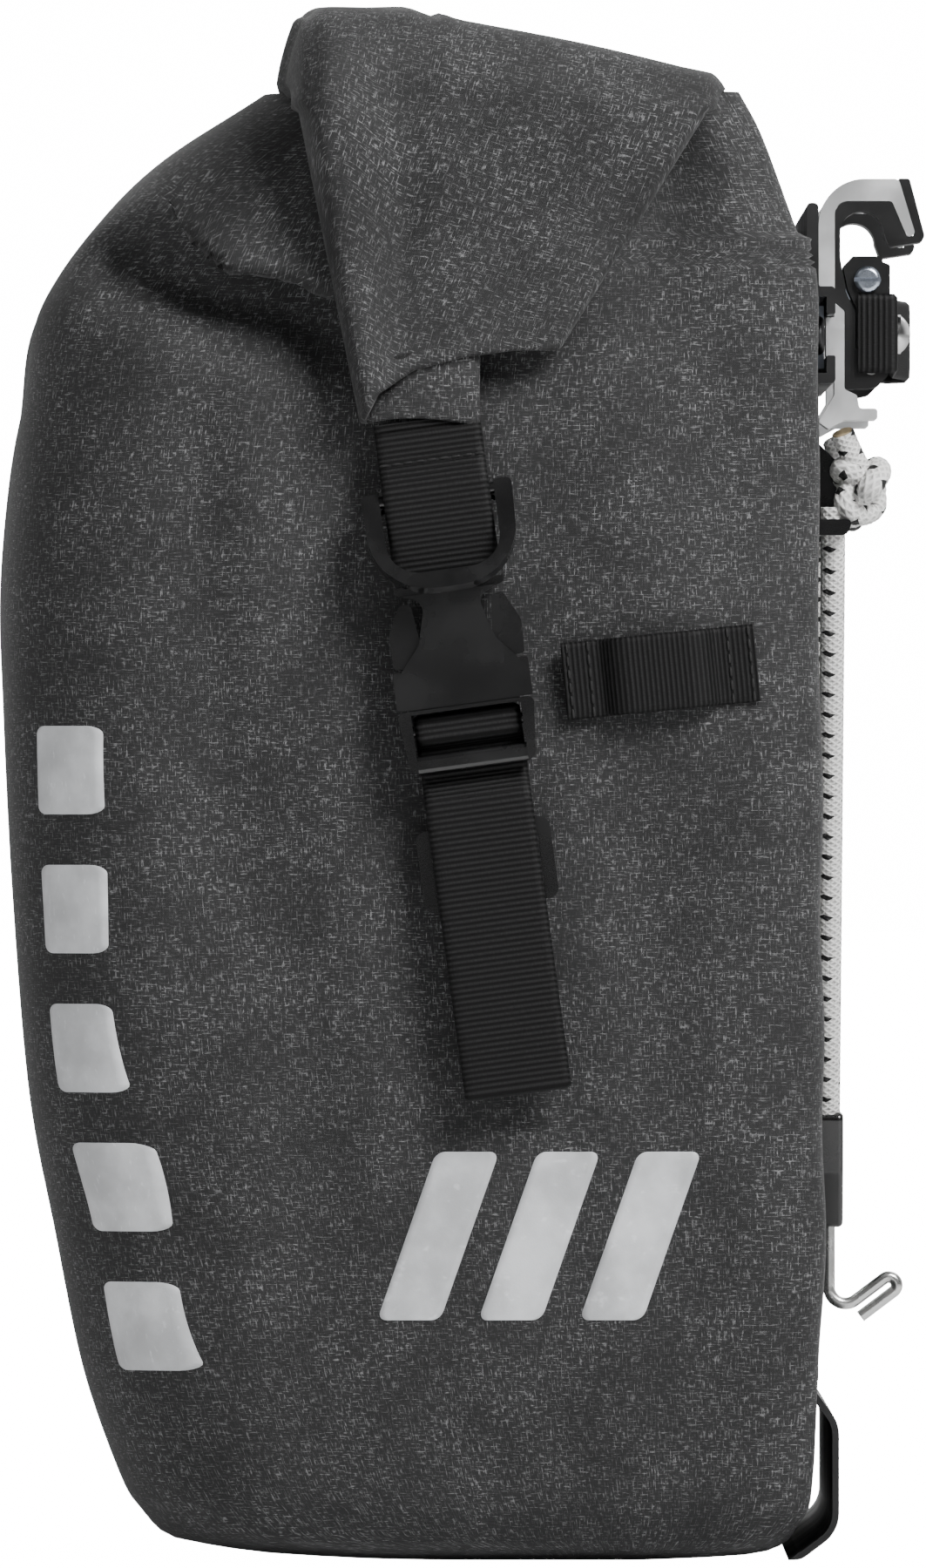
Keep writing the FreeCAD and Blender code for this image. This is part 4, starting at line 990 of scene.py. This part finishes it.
def stitchRow(name, places, direction, length, radius):
    # A row of short stitches, each a small bead pressed into the webbing.
    direction = np.array(direction) / np.linalg.norm(direction)
    side = np.cross(direction, [0.3, 0.5, 0.81])
    side /= np.linalg.norm(side)
    up = np.cross(direction, side)
    verts, faces = [], []
    rings = [(-0.5, 0.25), (-0.38, 0.8), (0, 1), (0.38, 0.8), (0.5, 0.25)]
    for place in places:
        base = len(verts)
        for t, r in rings:
            for a in np.linspace(0, 2 * math.pi, 8, endpoint=False):
                ring = radius * r * (math.cos(a) * side + math.sin(a) * up)
                verts.append(tuple(np.array(place) + direction * length * t + ring))
        for k in range(len(rings) - 1):
            for j in range(8):
                a, b = base + k * 8 + j, base + k * 8 + (j + 1) % 8
                faces.append((a, b, b + 8, a + 8))
        faces.append(tuple(base + j for j in range(8))[::-1])
        faces.append(tuple(base + 32 + j for j in range(8)))
    mesh = bpy.data.meshes.new(name)
    mesh.from_pydata([tuple(np.array(v) * mm) for v in verts], [], faces)
    mesh.polygons.foreach_set("use_smooth", [True] * len(mesh.polygons))
    obj = bpy.data.objects.new(name, mesh)
    bpy.context.collection.objects.link(obj)
    obj.data.materials.append(finishes["thread"])
    return obj


def makeSideWebbing(c):
    w, t = c["width"], c["thick"]
    rib = (c["ribPitch"], c["ribDepth"])
    upper = [(3.2, 68, 0), (3.2, 60, 6), (2.8, 53, 8), (2.8, 30.6, 1.9), (7.9, 30.6, 1.9), (8.3, 46, 12),
             (8.3, 52.5, 5), (4.85, 59.8, 4), (4.85, 65.5, 0)]
    lowBar = -38.6 + 9.8
    strap = [(4.2, -19.5, 0), (4.2, -22.5, 3), (6.2, -27, 4), (6.2, lowBar - 5.6, 2.2),
             (1.2, lowBar - 5.6, 2.2), (1.2, -27, 8), (2.3, -21, 8), (2.3, -2.1, 1.6), (7.7, -2.1, 1.9),
             (7.7, -7.6, 1.2), (4.5, -9.3, 1.2), (4.5, -17.5, 3), (8.6, -22.5, 5), (8.6, -93, 1.3),
             (6.0, -93, 1.3), (6.0, -72, 0)]
    tabBar = -38.6 - 9.8
    tab = [(0.9, tabBar - 20, 0), (0.9, tabBar - 4, 3), (1.25, tabBar + 1.6, 0.9), (1.25, tabBar + 5.5, 2.1),
           (6.2, tabBar + 5.5, 2.1), (6.2, tabBar - 1, 3), (2.6, tabBar - 6, 3), (2.6, tabBar - 18, 0)]
    loop = [(0.9, -23, 0), (0.9, -13.5, 3), (5.0, -9.5, 6), (5.0, 9.5, 6), (0.9, 13.5, 3), (0.9, 23, 0)]
    for sign, name in ((-1, "near"), (1, "far")):
        place = onSide(sign)
        made = [
            (webbingMesh(f"{name}MouthWebbing", upper, place, w, t, *rib), f"{name}_mouth_webbing"),
            (webbingMesh(f"{name}SideStrap", strap, place, w, t, *rib), f"{name}_side_strap"),
            (webbingMesh(f"{name}AnchorTab", tab, place, 22, t, *rib), f"{name}_anchor_tab"),
        ]
        loopPlace = onSide(sign, (-34.8, 211.7), 90 + 5.7)
        lightLoop = webbingMesh(f"{name}LightLoop", loop, loopPlace, 18.4, t, 1.2, 0.17)
        made.append((lightLoop, f"{name}_light_loop"))
        for strip, node in made:
            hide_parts(node)
            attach(strip, "bag")
        # two rows of stitches at each end of the light loop, and the sewn folds
        stitches = []
        for b in (-21.6, -16.6, 16.6, 21.6):
            stitches += [loopPlace(a, b, 1.75) for a in np.linspace(-7.8, 7.8, 6)]
        across = np.array(loopPlace(1, 0, 0)) - np.array(loopPlace(0, 0, 0))
        rows = [stitchRow(f"{name}LoopStitches", stitches, across, 2.3, 0.33)]
        folds = [place(a, 58.3, 6.1 + 0.3) for a in np.linspace(-11.4, 11.4, 9)]
        folds += [place(a, tabBar - 8.2, 3.5) for a in np.linspace(-9.6, 9.6, 7)]
        side = np.array(place(1, 0, 0)) - np.array(place(0, 0, 0))
        rows.append(stitchRow(f"{name}StrapStitches", folds, side, 2.2, 0.33))
        for row in rows:
            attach(row, "bag")


makeSideWebbing(closure)
print("side webbing made")

# the pull strap between the two levers
pullStrap = {"width": 19.0, "thick": 1.7, "up": 292.9, "bulge": 4.0, "face": 20.65, "outer": 75.2}


def makePullStrap(s):
    mid = s["face"] + 0.9
    side = s["outer"] + 0.9
    bow = mid + s["bulge"]
    path = [(12.8, -side, 0), (mid, -side, 1.4), (mid, -40, 30), (bow, -18, 40), (bow, 18, 40), (mid, 40, 30),
            (mid, side, 1.4), (12.8, side, 0)]

    def place(a, along, out):
        droop = 0.9 * (1 - (along / side) ** 2) if abs(along) < side else 0
        return (backX / mm + out, along, s["up"] + a - droop)

    strap = webbingMesh("pullStrap", path, place, s["width"], s["thick"], 1.35, 0.22)
    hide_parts("pull_strap")
    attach(strap, "near_lever")


makePullStrap(pullStrap)
print("pull strap made")

# generic reflective marks, laid on the fabric
marks = {"lift": 0.22, "bars": 3, "barWidth": 15, "barHeight": 40, "barLean": 14, "dashes": 5}


def makeMarks(m):
    tree = BVHTree.FromObject(body, bpy.context.evaluated_depsgraph_get())
    lift = m["lift"] * mm

    def laid(name, node, patches, direction):
        verts, faces, maps = [], [], []
        for patch in patches:
            rows, cols = patch.shape[:2]
            for layer in (1.0, -0.6):
                base = len(verts)
                for row in patch:
                    for place in row:
                        hit, normal, _, _ = tree.ray_cast(Vector(place) - direction * 0.05, direction)
                        verts.append(tuple(hit + normal * lift * layer))
                        maps.append((place[0] + place[1], place[2]))
                for r in range(rows - 1):
                    for c in range(cols - 1):
                        a = base + r * cols + c
                        quad = (a, a + 1, a + cols + 1, a + cols)
                        faces.append(quad if layer > 0 else quad[::-1])
            first = base - rows * cols
            last = (rows - 1) * cols
            rim = list(range(cols)) + [r * cols + cols - 1 for r in range(1, rows)]
            rim += [last + c for c in range(cols - 2, -1, -1)]
            rim += [r * cols for r in range(rows - 2, 0, -1)]
            for k in range(len(rim)):
                a, b = rim[k], rim[(k + 1) % len(rim)]
                faces.append((first + b, first + a, base + a, base + b))
        mesh = bpy.data.meshes.new(name)
        mesh.from_pydata(verts, [], faces)
        mesh.polygons.foreach_set("use_smooth", [True] * len(mesh.polygons))
        obj = bpy.data.objects.new(name, mesh)
        bpy.context.collection.objects.link(obj)
        obj.data.materials.append(finishes["film"])
        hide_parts(node)
        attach(obj, "bag")

    def rounded(across, up, width, height, radius, spot):
        # A grid over a round-cornered patch; spot turns (across, up) into a point.
        grid = []
        corner = radius / height
        ends = corner * (1 - np.cos(np.linspace(0, math.pi / 2, 6)))
        middle = np.linspace(corner, 1 - corner, up)[1:-1]
        for v in np.concatenate([ends, middle, 1 - ends[::-1]]):
            z = height * v
            d = min(z, height - z)
            cut = radius - math.sqrt(max(radius**2 - (radius - d) ** 2, 0)) if d < radius else 0
            grid.append([spot(cut + (width - 2 * cut) * u, z) for u in np.linspace(0, 1, across)])
        return np.array(grid)

    backMm = backX / mm
    for sign, name in ((-1, "near"), (1, "far")):
        bars = []
        for k in range(m["bars"]):
            x0 = backMm - 102 + 24 * k

            def spot(a, z, x0=x0):
                lean = m["barLean"] * z / m["barHeight"]
                return ((x0 + a + lean) * mm, sign * sideY, (58 + z) * mm)

            bars.append(rounded(10, 24, m["barWidth"], m["barHeight"], 2.2, spot))
        laid(f"{name}SideMark", f"{name}_side_mark", bars, Vector((0, -sign, 0)))
        dashes = []
        for k in range(m["dashes"]):
            spot = lambda a, z, k=k: (frontX, sign * (122 - a) * mm, (46 + 33 * k + z) * mm)
            dashes.append(rounded(12, 12, 12, 21, 2.0, spot))
        laid(f"{name}EdgeMark", f"{name}_edge_mark", dashes, Vector((1, 0, 0)))


makeMarks(marks)
print("marks laid")

# finishes for the pieces that keep their CAD shape
nodeFinish = {
    "back_stiffener": "inner", "closure_batten": "inner", "mounting_rail": "rail", "lower_guard": "guard",
    "rail_bolts": "blackSteel", "rail_nuts_and_washers": "zinc", "bracket_bolts": "blackSteel",
    "guard_rivets": "blackSteel", "cord_yoke": "acetal", "lower_wire_hook": "stainless",
}
pairFinish = {
    "rack_hook": "aluminium", "hook_liner": "liner", "cam_lever": "liner", "lever_pin": "stainless",
    "lever_screw": "zinc", "clamp_nut": "zinc", "clamp_screw": "blackSteel", "strap_rivet": "chrome",
    "cord_bracket": "acetal", "d_ring": "acetal", "buckle_socket": "acetal", "buckle_plug": "acetal",
    "rear_prong": "acetal", "front_prong": "acetal", "anchor_ring": "acetal",
}
softEdges = {"d_ring": 0.9, "buckle_socket": 0.55, "buckle_plug": 0.55, "rear_prong": 0.5, "front_prong": 0.5,
             "anchor_ring": 0.6, "rack_hook": 0.3, "hook_liner": 0.25, "cam_lever": 0.4, "cord_bracket": 0.35}


def finishNodes():
    allNodes = dict(nodeFinish)
    for kind, finish in pairFinish.items():
        for side in ("near", "far"):
            allNodes[f"{side}_{kind}"] = finish
    for node, finish in allNodes.items():
        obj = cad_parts[node]
        obj.data.materials.clear()
        obj.data.materials.append(finishes[finish])
        soft = softEdges.get(node.split("_", 1)[-1])
        if soft:
            bevel = obj.modifiers.new("softEdges", "BEVEL")
            bevel.width = soft * mm
            bevel.segments = 3
            bevel.limit_method = "ANGLE"
            bevel.angle_limit = math.radians(35)
            bevel.harden_normals = False


finishNodes()
print("CAD pieces finished")
